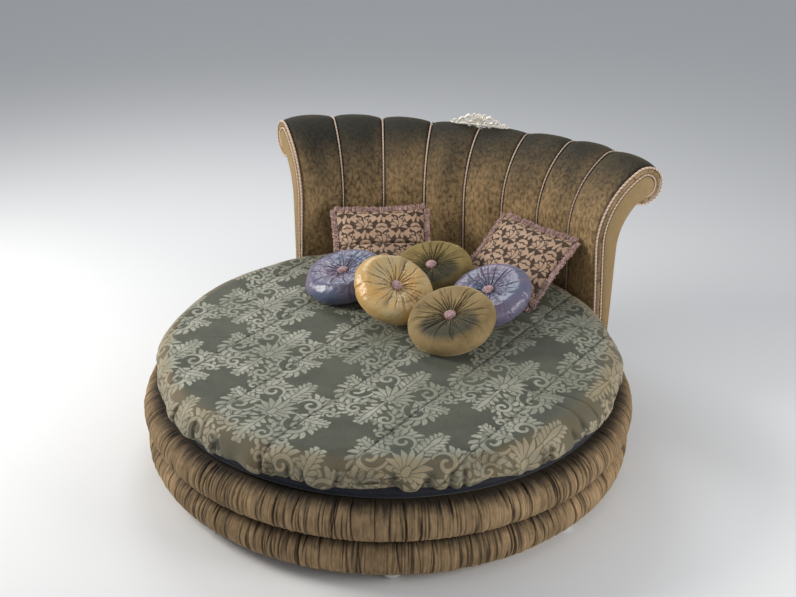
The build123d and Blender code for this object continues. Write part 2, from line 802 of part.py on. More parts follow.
# Square pillows: the place of the middle of the lower edge as shares of the mattress radius, the
# headboard angle that the pillow leans towards, then the rise of its lower and its upper part.
pillow_shares = {
    "damask_pillow_left": (-0.234, 0.538, -26.8, 27.9, 39.5),
    "damask_pillow_right": (0.308, 0.553, 27.1, 39.0, 39.0),
}
pillow_fold_share = 0.45
pillow_girth_shares = (
    (0.0, 0.0, 1.0),
    (0.5, 0.86, 0.965),
    (1.0, 1.0, 0.955),
    (1.5, 0.9, 0.965),
    (2.0, 0.0, 1.0),
)


def cushion_plane(name):
    """Middle plane of a round cushion that rests on the bedspread on its lowest edge."""
    x_share, y_share, lean, facing = cushion_shares[name]
    tilt = radians(lean)
    normal = (sin(tilt) * sin(radians(facing)), -sin(tilt) * cos(radians(facing)), cos(tilt))
    drop = (cushion_radius - cushion_half_thickness) * sin(tilt) + cushion_half_thickness
    origin = (x_share * mattress_radius, y_share * mattress_radius, spread_bed + drop)
    return Plane(origin=origin, z_dir=normal)


def make_cushion(name):
    """Round cushion with a full rim and a deep tuft in the middle of both faces."""
    rim_centre = Vector(cushion_radius - cushion_half_thickness, 0)
    crown = cushion_half_thickness
    mouth_rise = (tuft_floor_height + 3 * crown) / 4
    mouth_middle = (tuft_seat_radius + tuft_mouth_radius) / 2
    edges = []
    for side in (-1, 1):
        edges += [
            Line((0, side * tuft_floor_height), (tuft_seat_radius, side * tuft_floor_height)),
            ThreePointArc(
                (tuft_seat_radius, side * tuft_floor_height),
                (mouth_middle, side * mouth_rise),
                (tuft_mouth_radius, side * crown),
            ),
            Line((tuft_mouth_radius, side * crown), (rim_centre.X, side * crown)),
            arc(rim_centre, cushion_half_thickness, 0, side * 90),
        ]
    edges.append(Line((0, -tuft_floor_height), (0, tuft_floor_height)))
    return cushion_plane(name) * turned(edges)


def make_cushion_buttons(name):
    """Covered buttons in the tufts of one cushion, front and back."""
    buttons = []
    for side in (-1, 1):
        bottom = tuft_floor_height + fit_gap
        dome_radius = (button_radius**2 + button_height**2) / (2 * button_height)
        centre = Vector(0, bottom + button_height - dome_radius)
        dome = arc(centre, dome_radius, degrees(asin((bottom - centre.Y) / dome_radius)), 90)
        sides = Polyline((0, bottom + button_height), (0, bottom), (button_radius, bottom))
        button = turned([dome, sides])
        buttons.append(button if side > 0 else button.rotate(Axis.X, 180))
    place = cushion_plane(name)
    return compound([place * button for button in buttons], name + "_buttons")


def pillow_stations(name):
    """Stations up the middle of a pillow: the point, the way up, and shares of depth and width."""
    x_share, y_share, turn, low_rise, high_rise = pillow_shares[name]
    out = Vector(sin(radians(turn)), cos(radians(turn)), 0)
    edge = Vector(cos(radians(turn)), -sin(radians(turn)), 0)
    low_way = out * cos(radians(low_rise)) + Vector(0, 0, sin(radians(low_rise)))
    high_way = out * cos(radians(high_rise)) + Vector(0, 0, sin(radians(high_rise)))
    fringe_foot = Vector(x_share * mattress_radius, y_share * mattress_radius, spread_bed + fringe_radius)
    foot = fringe_foot + low_way * (fringe_radius + fit_gap)
    low = pillow_height * pillow_fold_share
    high = pillow_height - low
    fold = foot + low_way * low
    stations = []
    for along, depth, width in pillow_girth_shares:
        if along < 1:
            stations.append((foot + low_way * (low * along), low_way, depth, width))
        elif along > 1:
            stations.append((fold + high_way * (high * (along - 1)), high_way, depth, width))
        else:
            stations.append((fold, (low_way + high_way).normalized(), depth, width))
    return stations, edge


def pillow_section(point, way, edge, half_width, half):
    """Lens-shaped section of a pillow across its way up."""
    plane = Plane(origin=point, x_dir=edge, z_dir=way)
    side = pillow_edge_thickness
    front = ThreePointArc((-half_width, side), (0, half), (half_width, side))
    back = ThreePointArc((-half_width, -side), (0, -half), (half_width, -side))
    ends = [
        Line((half_width, side), (half_width, -side)),
        Line((-half_width, side), (-half_width, -side)),
    ]
    return plane * make_face([front, back] + ends)


def make_pillow(name):
    """Square pillow with a crown and drawn-in sides, bent where it leans back."""
    stations, edge = pillow_stations(name)
    faces = []
    for point, way, depth, width in stations:
        half = pillow_end_thickness + depth * (pillow_half_thickness - pillow_end_thickness)
        faces.append(pillow_section(point, way, edge, width * pillow_width / 2, half))
    return loft(faces)


def make_fringe(name):
    """Looped fringe sewn all round the edge of a pillow."""
    stations, edge = pillow_stations(name)
    clear = fringe_radius + fit_gap
    right = []
    left = []
    for index, (point, way, _, _) in enumerate(stations):
        end = -1 if index == 0 else 1 if index == len(stations) - 1 else 0
        middle = point + way * (end * clear)
        right.append(middle + edge * (pillow_width / 2 + clear))
        left.append(middle - edge * (pillow_width / 2 + clear))
    right = right[0::2]
    left = left[0::2]
    loop = right + left[::-1]
    fringe = Sphere(fringe_radius).moved(Pos(loop[0]))
    for start, end in zip(loop, loop[1:] + loop[:1]):
        way = end - start
        rod = Cylinder(fringe_radius, way.length, align=(Align.CENTER, Align.CENTER, Align.MIN))
        fringe += Plane(origin=start, z_dir=way) * rod
        fringe += Sphere(fringe_radius).moved(Pos(start))
    return fringe


def main():
    os.makedirs("parts", exist_ok=True)
    nodes = {
        "base_ring_lower": make_lower_ring(),
        "base_ring_upper": make_upper_ring(),
        "drum_wall": make_drum_wall(),
        "frame_posts": make_posts(),
        "beam_long": make_beam(True),
        "beam_cross": make_beam(False),
        "centre_leg": make_centre_leg(),
        "dust_cover": make_dust_cover(),
        "deck_half_left": make_deck_half(-1),
        "deck_half_right": make_deck_half(1),
        "deck_screws": make_deck_screws(),
        "foot_studs": make_foot_studs(),
        "lower_roll": make_lower_roll(),
        "upper_roll": make_upper_roll(),
        "mattress": make_mattress(),
        "bedspread": make_bedspread(),
        "headboard_plinth": make_plinth(),
        "headboard_ribs": make_ribs(),
        "headboard_front_board": make_front_board(),
        "headboard_back_panel": make_back_panel(),
        "scroll_packers": make_scroll_rolls(),
        "headboard_bolts": make_bolts(),
        "channel_cords": make_channel_cords(),
        "end_cords": compound(make_end_cords(-1) + make_end_cords(1), "end_cords"),
        "crest": make_crest(),
        "crest_pins": make_crest_pins(),
    }
    for index, angle in enumerate(foot_angles()):
        nodes[f"bun_foot_{index + 1}"] = make_foot(angle)
    for index in range(channel_count):
        nodes[f"headboard_channel_{index + 1}"] = make_channel(index)
    for side, word in ((-1, "left"), (1, "right")):
        nodes[f"end_band_{word}"] = make_end_band(side)
        nodes[f"side_panel_{word}"] = make_side_panel(side)
    for name in cushion_shares:
        nodes[name] = make_cushion(name)
        nodes[name + "_buttons"] = make_cushion_buttons(name)
    for name in pillow_shares:
        nodes[name] = make_pillow(name)
        nodes[name.replace("pillow", "fringe")] = make_fringe(name)
    for name, shape in nodes.items():
        export_step(shape, f"parts/{name}.step")
    print(len(nodes), "nodes written")


if __name__ == "__main__":
    main()
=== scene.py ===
# %% [markdown]
# # A round upholstered bed, dressed in Blender
# This notebook dresses a round bed: two ruched velvet rolls, a quilted damask bedspread, a channelled
# headboard that rolls back into a scroll, a carved crest, five tufted cushions and two fringed pillows.
# The carcass comes from the CAD model as it is. Everything soft is sewn here in mesh code, so that it
# gets the folds, seams and stuffing that a CAD solid can't have. All lengths are in metres.

# %% Load the frame
import bpy
import math
import numpy as np
from mathutils import Matrix, Vector


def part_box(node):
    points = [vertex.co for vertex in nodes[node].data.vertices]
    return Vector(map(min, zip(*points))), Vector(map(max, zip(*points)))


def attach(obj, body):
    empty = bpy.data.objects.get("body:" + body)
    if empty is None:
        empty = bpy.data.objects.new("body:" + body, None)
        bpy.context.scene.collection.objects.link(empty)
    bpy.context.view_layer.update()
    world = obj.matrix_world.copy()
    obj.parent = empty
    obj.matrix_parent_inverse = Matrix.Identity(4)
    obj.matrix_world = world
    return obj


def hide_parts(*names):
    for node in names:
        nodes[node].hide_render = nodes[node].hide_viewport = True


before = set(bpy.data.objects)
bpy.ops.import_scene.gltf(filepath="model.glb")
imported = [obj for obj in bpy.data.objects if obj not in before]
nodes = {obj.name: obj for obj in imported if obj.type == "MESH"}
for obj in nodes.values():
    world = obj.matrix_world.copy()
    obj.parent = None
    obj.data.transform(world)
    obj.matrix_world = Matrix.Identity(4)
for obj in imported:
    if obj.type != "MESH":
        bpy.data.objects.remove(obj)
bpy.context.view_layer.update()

# %% [markdown]
# ## The camera
# The viewpoint was worked out from the rings of the base and the seams of the headboard: 21 degrees to
# the right of the foot and 26 degrees up, about five and a half metres away. A camera's columns are its
# right, its up and its back, so the small roll is a turn of the first two.

# %% Camera
AZIMUTH, ELEVATION, ROLL = math.radians(21.03), math.radians(25.80), math.radians(0.529)
EYE, LENS = (1.8087, -4.5859, 3.1659), 50.73


def camera_axes():
    right = Vector((math.cos(AZIMUTH), math.sin(AZIMUTH), 0))
    level = math.cos(ELEVATION)
    back = Vector((math.sin(AZIMUTH) * level, -math.cos(AZIMUTH) * level, math.sin(ELEVATION)))
    up = back.cross(right)
    cos, sin = math.cos(ROLL), math.sin(ROLL)
    return right * cos + up * sin, up * cos - right * sin, back


camera = bpy.data.objects.new("camera", bpy.data.cameras.new("camera"))
bpy.context.scene.collection.objects.link(camera)
camera.data.lens = LENS
camera.data.sensor_fit = "HORIZONTAL"
camera.matrix_world = Matrix.Translation(EYE) @ Matrix(camera_axes()).transposed().to_4x4()
bpy.context.scene.camera = camera
print("camera", [round(x, 3) for x in camera.matrix_world.translation])

# %% [markdown]
# ## Sewing a mesh
# Cloth here starts as a grid of points, as a pattern cutter's squared paper. One helper turns a grid
# into a mesh, closed round on itself where it is a tube, and another joins many grids into one piece.
# A third makes crumpled surfaces: random numbers blurred by a Gaussian, which is the quickest way to
# get folds of a chosen size and direction.

# %% Meshes from grids
SIDES = (-1, 1)


def side_name(side):
    return "left" if side < 0 else "right"


def make_piece(name, points, faces, finish):
    """A mesh from numpy points and equal-sided faces, with its faces turned outward."""
    points = np.asarray(points, float).reshape(-1, 3)
    faces = np.asarray(faces, np.int32)
    corner = points[faces]
    normal = np.cross(corner[:, 1] - corner[:, 0], corner[:, -1] - corner[:, 0])
    if (normal * (corner.mean(1) - points.mean(0))).sum() < 0:
        faces = faces[:, ::-1]
    mesh = bpy.data.meshes.new(name)
    mesh.vertices.add(len(points))
    mesh.vertices.foreach_set("co", points.astype(np.float32).ravel())
    mesh.loops.add(faces.size)
    mesh.loops.foreach_set("vertex_index", np.ascontiguousarray(faces).ravel())
    mesh.polygons.add(len(faces))
    starts = np.arange(0, faces.size, faces.shape[1], dtype=np.int32)
    mesh.polygons.foreach_set("loop_start", starts)
    mesh.update(calc_edges=True)
    mesh.shade_smooth()
    piece = bpy.data.objects.new(name, mesh)
    bpy.context.scene.collection.objects.link(piece)
    mesh.materials.append(finish)
    return piece


def grid_faces(nu, nv, round_u=False, round_v=False):
    last_u, last_v = nu if round_u else nu - 1, nv if round_v else nv - 1
    u, v = (k.ravel() for k in np.meshgrid(np.arange(last_u), np.arange(last_v), indexing="ij"))
    u2, v2 = (u + 1) % nu, (v + 1) % nv
    return np.stack([u * nv + v, u2 * nv + v, u2 * nv + v2, u * nv + v2], -1)


def sew(name, grid, finish, round_u=False, round_v=False):
    return make_piece(name, grid, grid_faces(*grid.shape[:2], round_u, round_v), finish)


def sew_many(name, grids, finish, round_u=False, round_v=True):
    """Joins many grids, tubes unless said otherwise, into one piece."""
    points, faces, start = [], [], 0
    for grid in grids:
        points.append(grid.reshape(-1, 3))
        faces.append(grid_faces(*grid.shape[:2], round_u, round_v) + start)
        start += len(points[-1])
    return make_piece(name, np.concatenate(points), np.concatenate(faces), finish)


def note(piece, label, values):
    """Writes one number on each point of a piece, for its finish to read."""
    layer = piece.data.attributes.new(label, "FLOAT", "POINT")
    layer.data.foreach_set("value", np.asarray(values, np.float32).ravel())


def settle(piece, body, slot, *cad_nodes):
    """A finished piece rides on its body and hides the CAD nodes that it stands for. Its slot is not
    used.
    """
    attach(piece, body)
    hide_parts(*cad_nodes)
    return piece


# %% Rings and crumples
def full_turn(count):
    return np.linspace(0, 2 * np.pi, count, endpoint=False)


def from_middle(turn, r, z):
    """Points at a turn from the bed's +Y, a radius and a height."""
    return np.stack([r * np.sin(turn), r * np.cos(turn), z + 0 * turn], -1)


def along_path(path, share):
    """A path of (radius, height, ...) rows read at shares of its length, and those lengths."""
    along = np.concatenate([[0], np.cumsum(np.hypot(*np.diff(path[:, :2], axis=0).T))])
    want = share * along[-1]
    return [np.interp(want, along, column) for column in path.T], want


def bell(value, width, power=2):
    """1 at zero, falling away over `width`."""
    return np.exp(-((value / width) ** power))


def crumple(seed, shape, grain, round_u=False, round_v=False):
    """A smooth random field, mostly between -1 and 1, with bumps about `grain` samples wide."""
    pad = (0 if round_u else int(3 * grain[0]), 0 if round_v else int(3 * grain[1]))
    size = (shape[0] + pad[0], shape[1] + pad[1])
    white = np.random.default_rng(seed).standard_normal(size)
    fu, fv = np.fft.fftfreq(size[0])[:, None], np.fft.fftfreq(size[1])[None]
    blur = np.exp(-2 * np.pi**2 * ((fu * grain[0]) ** 2 + (fv * grain[1]) ** 2))
    field = np.fft.ifft2(np.fft.fft2(white) * blur).real[: shape[0], : shape[1]]
    return field / (2 * field.std())


def smooth(value, low, high):
    """0 below low, 1 above high, with a soft step between."""
    share = np.clip((value - low) / (high - low), 0, 1)
    return share * share * (3 - 2 * share)


# %% [markdown]
# ## Finishes
# Every cloth on this bed is built from the same few nodes: object coordinates, noise at two or three
# sizes, a colour mix and a bump. Velvet gets sheen, because its upright pile glows where it is seen
# from the side. Satin gets a low roughness. Folds carry their own depth as a number on each point,
# which darkens the bottom of a crease as painted shade.

# %% Node helpers
def dye(red, green, blue):
    """A colour as it is read off a swatch, 0 to 255, made linear for the shader."""
    swatch = (red, green, blue)
    line = [c / 255 / 12.92 if c < 10.3 else ((c / 255 + 0.055) / 1.055) ** 2.4 for c in swatch]
    return (*line, 1.0)


def new_finish(name, **sockets):
    finish = bpy.data.materials.new(name)
    finish.use_nodes = True
    shader = finish.node_tree.nodes["Principled BSDF"]
    for label, value in sockets.items():
        label = label.replace("_", " ").title().replace("Ior", "IOR")
        shader.inputs[label].default_value = value
    return finish, finish.node_tree, shader


def put(tree, kind, settings=(), **sockets):
    """Adds a node. A socket is given a number, a colour or another node's output."""
    made = tree.nodes.new("ShaderNode" + kind)
    for label, value in dict(settings).items():
        setattr(made, label, value)
    for label, value in sockets.items():
        socket = made.inputs[int(label[1:])] if label[0] == "_" else made.inputs[label]
        if isinstance(value, bpy.types.NodeSocket):
            tree.links.new(value, socket)
        else:
            socket.default_value = value
    return made.outputs


def place_on(tree, scale=(1, 1, 1)):
    """The cloth's own coordinates, stretched."""
    where = put(tree, "TexCoord")["Object"]
    return put(tree, "Mapping", Vector=where, Scale=scale)["Vector"]


def noted(tree, label):
    """The number that was written on the points under this label."""
    return put(tree, "Attribute", {"attribute_name": label})["Fac"]


def spread_out(tree, value, low, high):
    """A value from 0 to 1, moved to run from low to high."""
    return put(tree, "MapRange", Value=value, _3=low, _4=high)["Result"]


def mottle(tree, where, size, detail=4.0, low=0.35, high=0.65):
    """Blotches of about `size` metres, from 0 to 1."""
    noise = put(tree, "TexNoise", Vector=where, Scale=0.6 / size, Detail=detail, Roughness=0.6)
    return put(tree, "MapRange", Value=noise["Fac"], _1=low, _2=high)["Result"]


def mix(tree, share, first, second, how="MIX"):
    settings = {"data_type": "RGBA", "blend_type": how}
    return put(tree, "Mix", settings, _0=share, _6=first, _7=second)[2]


def times(tree, first, second, how="MULTIPLY"):
    return put(tree, "Math", {"operation": how}, _0=first, _1=second)[0]


def blend(tree, first, second, share):
    """`share` of the first value and the rest of the second."""
    return times(tree, times(tree, first, share), times(tree, second, 1 - share), "ADD")


def paint_crease_shade(tree, colour, deepest):
    """The colour, darkened down to `deepest` at the bottom of the creases, as painted shade."""
    return mix(tree, 1.0, colour, spread_out(tree, noted(tree, "painted_crease_shade"), 1.0, deepest), "MULTIPLY")


def wire(tree, shader, socket, value):
    tree.links.new(value, shader.inputs[socket])


def raise_up(tree, shader, height, depth, strength=1.0, under=None):
    """A bump of `depth` metres, over another bump if there is one."""
    more = {"Normal": under} if under else {}
    normal = put(tree, "Bump", Height=height, Distance=depth, Strength=strength, **more)["Normal"]
    wire(tree, shader, "Normal", normal)
    return normal


def two_tone(name, first, second, blotch, grit, bump, **sockets):
    """Two mottled colours and a fine bump. Blotch and grit are the size and detail of a noise."""
    finish, tree, shader = new_finish(name, **sockets)
    where = place_on(tree)
    wire(tree, shader, "Base Color", mix(tree, mottle(tree, where, *blotch), first, second))
    raise_up(tree, shader, mottle(tree, where, *grit), *bump)
    return finish


# %% Velvets and satins
def velvet(name, colours, fleck, streak, crushed, sheen, flecked=(0.34, 0.66)):
    """Cotton velvet. Its colours are the deep ground, the flecks where the pile is crushed, the
    glow, and a darker colour of painted shade that marked points turn to."""
    deep, wear_and_painted_shade, glow, painted_shade_colour = (dye(*colour) for colour in colours)
    finish, tree, shader = new_finish(name, roughness=0.78, sheen_weight=sheen, sheen_roughness=0.35,
                                      sheen_tint=glow, specular_ior_level=0.25)
    where = place_on(tree, streak)
    flecks = mottle(tree, where, fleck, 7.0, *flecked)
    share = blend(tree, flecks, mottle(tree, where, 14 * fleck, 2.0), crushed)
    # painted shade: the colour goes to the painted shade colour at points marked for it
    colour = mix(tree, noted(tree, "painted_shade"), mix(tree, share, deep, wear_and_painted_shade), painted_shade_colour)
    wire(tree, shader, "Base Color", paint_crease_shade(tree, colour, 0.22))
    lower = raise_up(tree, shader, flecks, 0.0009, 0.5)
    raise_up(tree, shader, mottle(tree, where, 0.0012, 2.0), 0.0004, 0.5, lower)
    return finish


def satin(name, main, second, gleam):
    """Shot satin: two colours of thread that swap in broad patches, and a smooth gleam."""
    finish, tree, shader = new_finish(name, roughness=0.34, sheen_weight=0.3, sheen_roughness=0.4,
                                      sheen_tint=dye(*gleam), specular_ior_level=0.75,
                                      anisotropic=0.6)
    where = place_on(tree)
    colour = mix(tree, mottle(tree, where, 0.12, 2.0, 0.32, 0.68), dye(*main), dye(*second))
    wire(tree, shader, "Base Color", paint_crease_shade(tree, colour, 0.16))
    thread = put(tree, "TexNoise", Vector=place_on(tree, (900, 900, 250)), Scale=1.0, Detail=2.0)
    lower = raise_up(tree, shader, mottle(tree, where, 0.03, 3.0), 0.003, 0.5)
    raise_up(tree, shader, thread["Fac"], 0.0003, 0.3, lower)
    return finish


# the fourth colour of each velvet is its painted shade
rolls_velvet = velvet(
    "ruched_roll_velvet", [(100, 82, 57), (176, 147, 110), (200, 172, 128), (30, 26, 24)],
    0.012, (1, 1, 0.25), 0.45, 0.35)
head_velvet = velvet(
    "antique_head_velvet", [(82, 67, 43), (198, 164, 117), (178, 160, 118), (28, 33, 31)],
    0.0095, (1, 1, 0.6), 0.70, 0.22, (0.35, 0.63))
panel_velvet = velvet(
    "plain_panel_velvet", [(136, 113, 78), (158, 134, 96), (200, 182, 146), (90, 76, 52)],
    0.02, (1, 1, 0.6), 0.4, 0.4)
olive_front_velvet = velvet(
    "olive_cushion_velvet", [(126, 106, 68), (178, 152, 110), (226, 206, 162), (54, 58, 48)],
    0.02, (1, 1, 1), 0.3, 0.7)
olive_back_velvet = velvet(
    "dark_olive_cushion_velvet", [(84, 72, 42), (150, 128, 78), (206, 186, 130), (36, 38, 28)],
    0.02, (1, 1, 1), 0.3, 0.7)
blue_satin = satin("blue_lilac_satin", (84, 96, 122), (122, 104, 126), (196, 204, 226))
gold_satin = satin("gold_satin", (210, 161, 84), (192, 170, 122), (255, 242, 208))
print("velvets and satins:", len(bpy.data.materials))

# %% [markdown]
# ## The ruched rolls
# The base is two fat rolls of wadding, and their velvet is gathered lengthwise so that it falls into
# hundreds of fine upright folds, with a sharp dark crease every few centimetres. Fine folds could be a
# bump, but here they are modelled, because they catch the light along the whole round of the roll.
# The section is walked once, then swept round the bed, and every point moves out along the section.
# The creases, the top and the underside of each roll are darkened with painted shade.

# %% Ruching
ROLL_RADIUS = 0.090
DRUM = 1.0604
ROLL_ROWS, COLUMNS_ROUND, COLUMNS_PER_CREASE = 42, 3400, 19


def ruching(seed, columns, rows):
    """How far the velvet stands out, how much painted shade its creases get, and its fine streaks."""
    fine = crumple(seed, (columns, rows), (1.1, 12), True)
    broad = crumple(seed + 1, (columns, rows), (3.4, 13), True)
    soft = crumple(seed + 2, (columns, rows), (45, 30), True)
    out = 0.0016 * fine + 0.0012 * broad + 0.0026 * soft
    painted_crease_shade = 0.95 * smooth(-fine, 0.0, 0.9) + 0.20 * smooth(-broad, 0.15, 1.1)
    chance = np.random.default_rng(seed + 3)
    across = np.arange(-14, 15)[:, None]
    height = np.linspace(0, 1, rows)
    for _ in range(columns // COLUMNS_PER_CREASE):
        start, lean = chance.uniform(0, columns), chance.uniform(-7, 7)
        span, centre = chance.uniform(0.22, 0.8), chance.uniform(0, 1)
        strength = chance.uniform(0.3, 1.0) ** 1.3
        fade = bell(height - centre, span, 4) * strength
        line = start + lean * height + 2 * np.sin(5 * height + start)
        where = ((line + across).astype(int) % columns, np.arange(rows)[None].repeat(29, 0))
        near, bulge = bell(across, 1.5) * fade, bell(across, 6.0) * fade
        np.add.at(out, where, 0.0018 * bulge - 0.0100 * near)
        np.add.at(painted_crease_shade, where, 1.1 * near)
    return out, np.clip(painted_crease_shade, 0, 1), fine + broad


# %% Sew the rolls
def sew_roll(name, middle, low_angle, start, sweep, seed, back):
    """A roll from its middle (radius, height), with its flat back given as points."""
    rows, closed = ROLL_ROWS, sweep == 360
    columns = int(COLUMNS_ROUND * sweep / 360)
    angle = np.linspace(low_angle, 90, rows)
    out, rise = np.cos(np.radians(angle)), np.sin(np.radians(angle))
    puff, painted_crease_shade, streaks = ruching(seed, columns, rows)
    edge = smooth(np.linspace(0, 1, rows), 0, 0.06) * smooth(np.linspace(1, 0, rows), 0, 0.06)
    puff = (puff + 0.001) * edge
    turn = np.radians(start + np.linspace(0, sweep, columns, endpoint=not closed))[:, None]
    r, z = middle[0] + ROLL_RADIUS * out + out * puff, middle[1] + ROLL_RADIUS * rise + rise * puff
    r, z = (np.concatenate([front, np.broadcast_to(side, (columns, len(back)))], 1)
            for front, side in zip((r, z), zip(*back)))
    piece = sew(name, from_middle(turn, r, z), rolls_velvet, closed, True)
    backs = ((0, 0), (0, len(back)))
    note(piece, "painted_crease_shade", np.pad(painted_crease_shade, backs))
    # painted shade: darker over the top and the underside of each roll, streaked along its folds
    painted_roll_shade = smooth(angle + 12 * streaks, 30, 84) * 0.92
    painted_roll_shade += 0.8 * smooth(-angle + 8 * streaks, 52, 88)
    note(piece, "painted_shade", np.pad(np.clip(painted_roll_shade, 0, 1), backs, constant_values=1))
    return piece


lower_velvet = sew_roll("lower_roll_velvet", (1.110, 0.120), -78.2, 0, 360, 11,
                        [(DRUM, 0.210), (DRUM, 0.0484), (1.1284, 0.0484)])
upper_velvet = sew_roll("upper_roll_velvet", (1.120, 0.300), -90, 46.73, 266.54, 23,
                        [(DRUM, 0.390), (DRUM, 0.210)])
for piece, node in ((lower_velvet, "lower_roll"), (upper_velvet, "upper_roll")):
    settle(piece, "base", "olive_velvet", node)
    print(piece.name, len(piece.data.vertices), "points")

# %% [markdown]
# ## The woven leaves
# The bedspread's damask carries big medallions of acanthus leaves and scrolls, a traditional pattern
# that weavers have used for centuries. The medallion is drawn here from tapered strokes, as with a
# brush. For every point of the cloth we then ask how far it is from the nearest stroke. That distance
# keeps edges crisp between points, so the pattern needs no picture.

# %% Brush strokes
def stroke(points, widths):
    """A tapered brush stroke through points, with its half width at each."""
    share, knots = np.linspace(0, 1, len(points)), np.linspace(0, 1, len(widths))
    return np.column_stack([np.asarray(points, float), np.interp(share, knots, widths)])


def bow(start, end, bulge, count=9):
    """Points on a bowed line. A positive bulge leans to the left of the way."""
    start, end = np.asarray(start, float), np.asarray(end, float)
    share = np.linspace(0, 1, count)[:, None]
    side = np.array([-(end - start)[1], (end - start)[0]])
    return start + (end - start) * share + side * bulge * 4 * share * (1 - share)


def curl(centre, big, small, start, turn, count=26):
    """Points on a spiral that closes in."""
    share = np.linspace(0, 1, count)
    radius, angle = big * (small / big) ** share, np.radians(start + turn * share)
    return np.stack([centre[0] + radius * np.cos(angle), centre[1] + radius * np.sin(angle)], -1)


def heading(way):
    """The turn of a way in degrees, where 0 points up the cloth."""
    return math.degrees(math.atan2(way[0], way[1]))


def petal(start, turn, length, width, bulge=0.0):
    """One plump petal, narrow at its foot and round at its tip. A turn of 0 points up the cloth."""
    a = math.radians(turn)
    tip = (start[0] + length * math.sin(a), start[1] + length * math.cos(a))
    return [stroke(bow(start, tip, bulge), [width * k for k in (0.35, 0.8, 1, 0.9, 0.3)])]


def fan(start, turns, length, width, bulge=0.0):
    """Petals side by side, laid from the outside in."""
    return [petal(start, t, length * (1 - 0.0022 * abs(t)), width, bulge * (1 if t > 0 else -1))
            for t in sorted(turns, key=lambda t: -abs(t))]


def acanthus(start, end, bulge, pairs, reach, width):
    """A leaf of paired petals along a bowed spine."""
    spine = bow(start, end, bulge, 40)
    leaf = []
    for share in np.linspace(0.06, 0.86, pairs):
        at = int(share * 38)
        way = heading(spine[at + 1] - spine[at])
        length = reach * math.sin(math.pi * (0.25 + 0.62 * share)) ** 0.7
        for side in SIDES:
            leaf.append(petal(spine[at], way + side * (58 - 26 * share), length, width, side * 0.16))
    leaf.append([stroke(spine, [width * k for k in (0.5, 0.6, 1.1, 0.3)])])
    return leaf


def leafy_scroll(centre, big, small, start, turn, lobes, reach, width, thick):
    """A curl with petals along its outer side."""
    line = curl(centre, big, small, start, turn, 60)
    bulge = 0.14 if turn > 0 else -0.14
    made = []
    for share in np.linspace(0.04, 0.60, lobes):
        at = int(share * 58)
        out, way = line[at] - centre, line[at + 1] - line[at]
        lean = out / np.hypot(*out) - 0.55 * way / np.hypot(*way)
        size = (reach * (1 - 0.45 * share), width * (1 - 0.25 * share))
        made.append(petal(line[at], heading(lean), *size, bulge))
    made.append([stroke(line, [thick * k for k in (0.5, 1, 1, 0.8, 0.6)])])
    return made


def both_sides(element):
    return [np.concatenate([s[:, :1] * side, s[:, 1:]], 1) for s in element for side in SIDES]


# %% Distance to the strokes
FARTHEST = 0.03


def distance_map(elements, half_width, half_height, cell, gap):
    """Distance to the drawn leaves on a fine grid. A dark gap is left round each new element."""
    x = np.arange(-half_width, half_width + cell, cell, dtype=np.float32)
    y = np.arange(-half_height, half_height + cell, cell, dtype=np.float32)
    gx, gy = np.meshgrid(x, y, indexing="ij")
    field = np.full(gx.shape, 1.0, np.float32)
    for element in elements:
        near = np.full(gx.shape, 1.0, np.float32)
        for line in element:
            for (x0, y0, w0), (x1, y1, w1) in zip(line[:-1], line[1:]):
                i0, i1 = np.searchsorted(x, (min(x0, x1) - FARTHEST, max(x0, x1) + FARTHEST))
                j0, j1 = np.searchsorted(y, (min(y0, y1) - FARTHEST, max(y0, y1) + FARTHEST))
                px, py = gx[i0:i1, j0:j1] - x0, gy[i0:i1, j0:j1] - y0
                dx, dy = x1 - x0, y1 - y0
                t = np.clip((px * dx + py * dy) / max(dx**2 + dy**2, 1e-12), 0, 1)
                far = np.hypot(px - t * dx, py - t * dy) - (w0 + t * (w1 - w0))
                near[i0:i1, j0:j1] = np.minimum(near[i0:i1, j0:j1], far)
        field = np.minimum(np.maximum(field, gap - near), near)
    return field, (half_width, half_height, cell)


def read_map(drawn, u, v):
    """The distance at cloth points, read between the grid's own points."""
    field, (half_width, half_height, cell) = drawn
    last_a, last_b = field.shape[0] - 1, field.shape[1] - 1
    a, b = (u + half_width) / cell, (v + half_height) / cell
    inside = (a > 0) & (b > 0) & (a < last_a) & (b < last_b)
    a, b = np.clip(a, 0, last_a - 0.001), np.clip(b, 0, last_b - 0.001)
    i, j = a.astype(int), b.astype(int)
    a, b = a - i, b - j
    near, next_row = (field[i, k] * (1 - a) + field[i + 1, k] * a for k in (j, j + 1))
    return np.where(inside, near * (1 - b) + next_row * b, FARTHEST)


def half_drop(drawn, u, v, width, height):
    """The pattern in half-drop repeat: every second column is moved by half a repeat."""
    found = FARTHEST
    for shift in (0, 0.5):
        a = (u / width + shift + 0.5) % 1 - 0.5
        b = (v / height + shift + 0.5) % 1 - 0.5
        found = np.minimum(found, read_map(drawn, a * width, b * height))
    return found


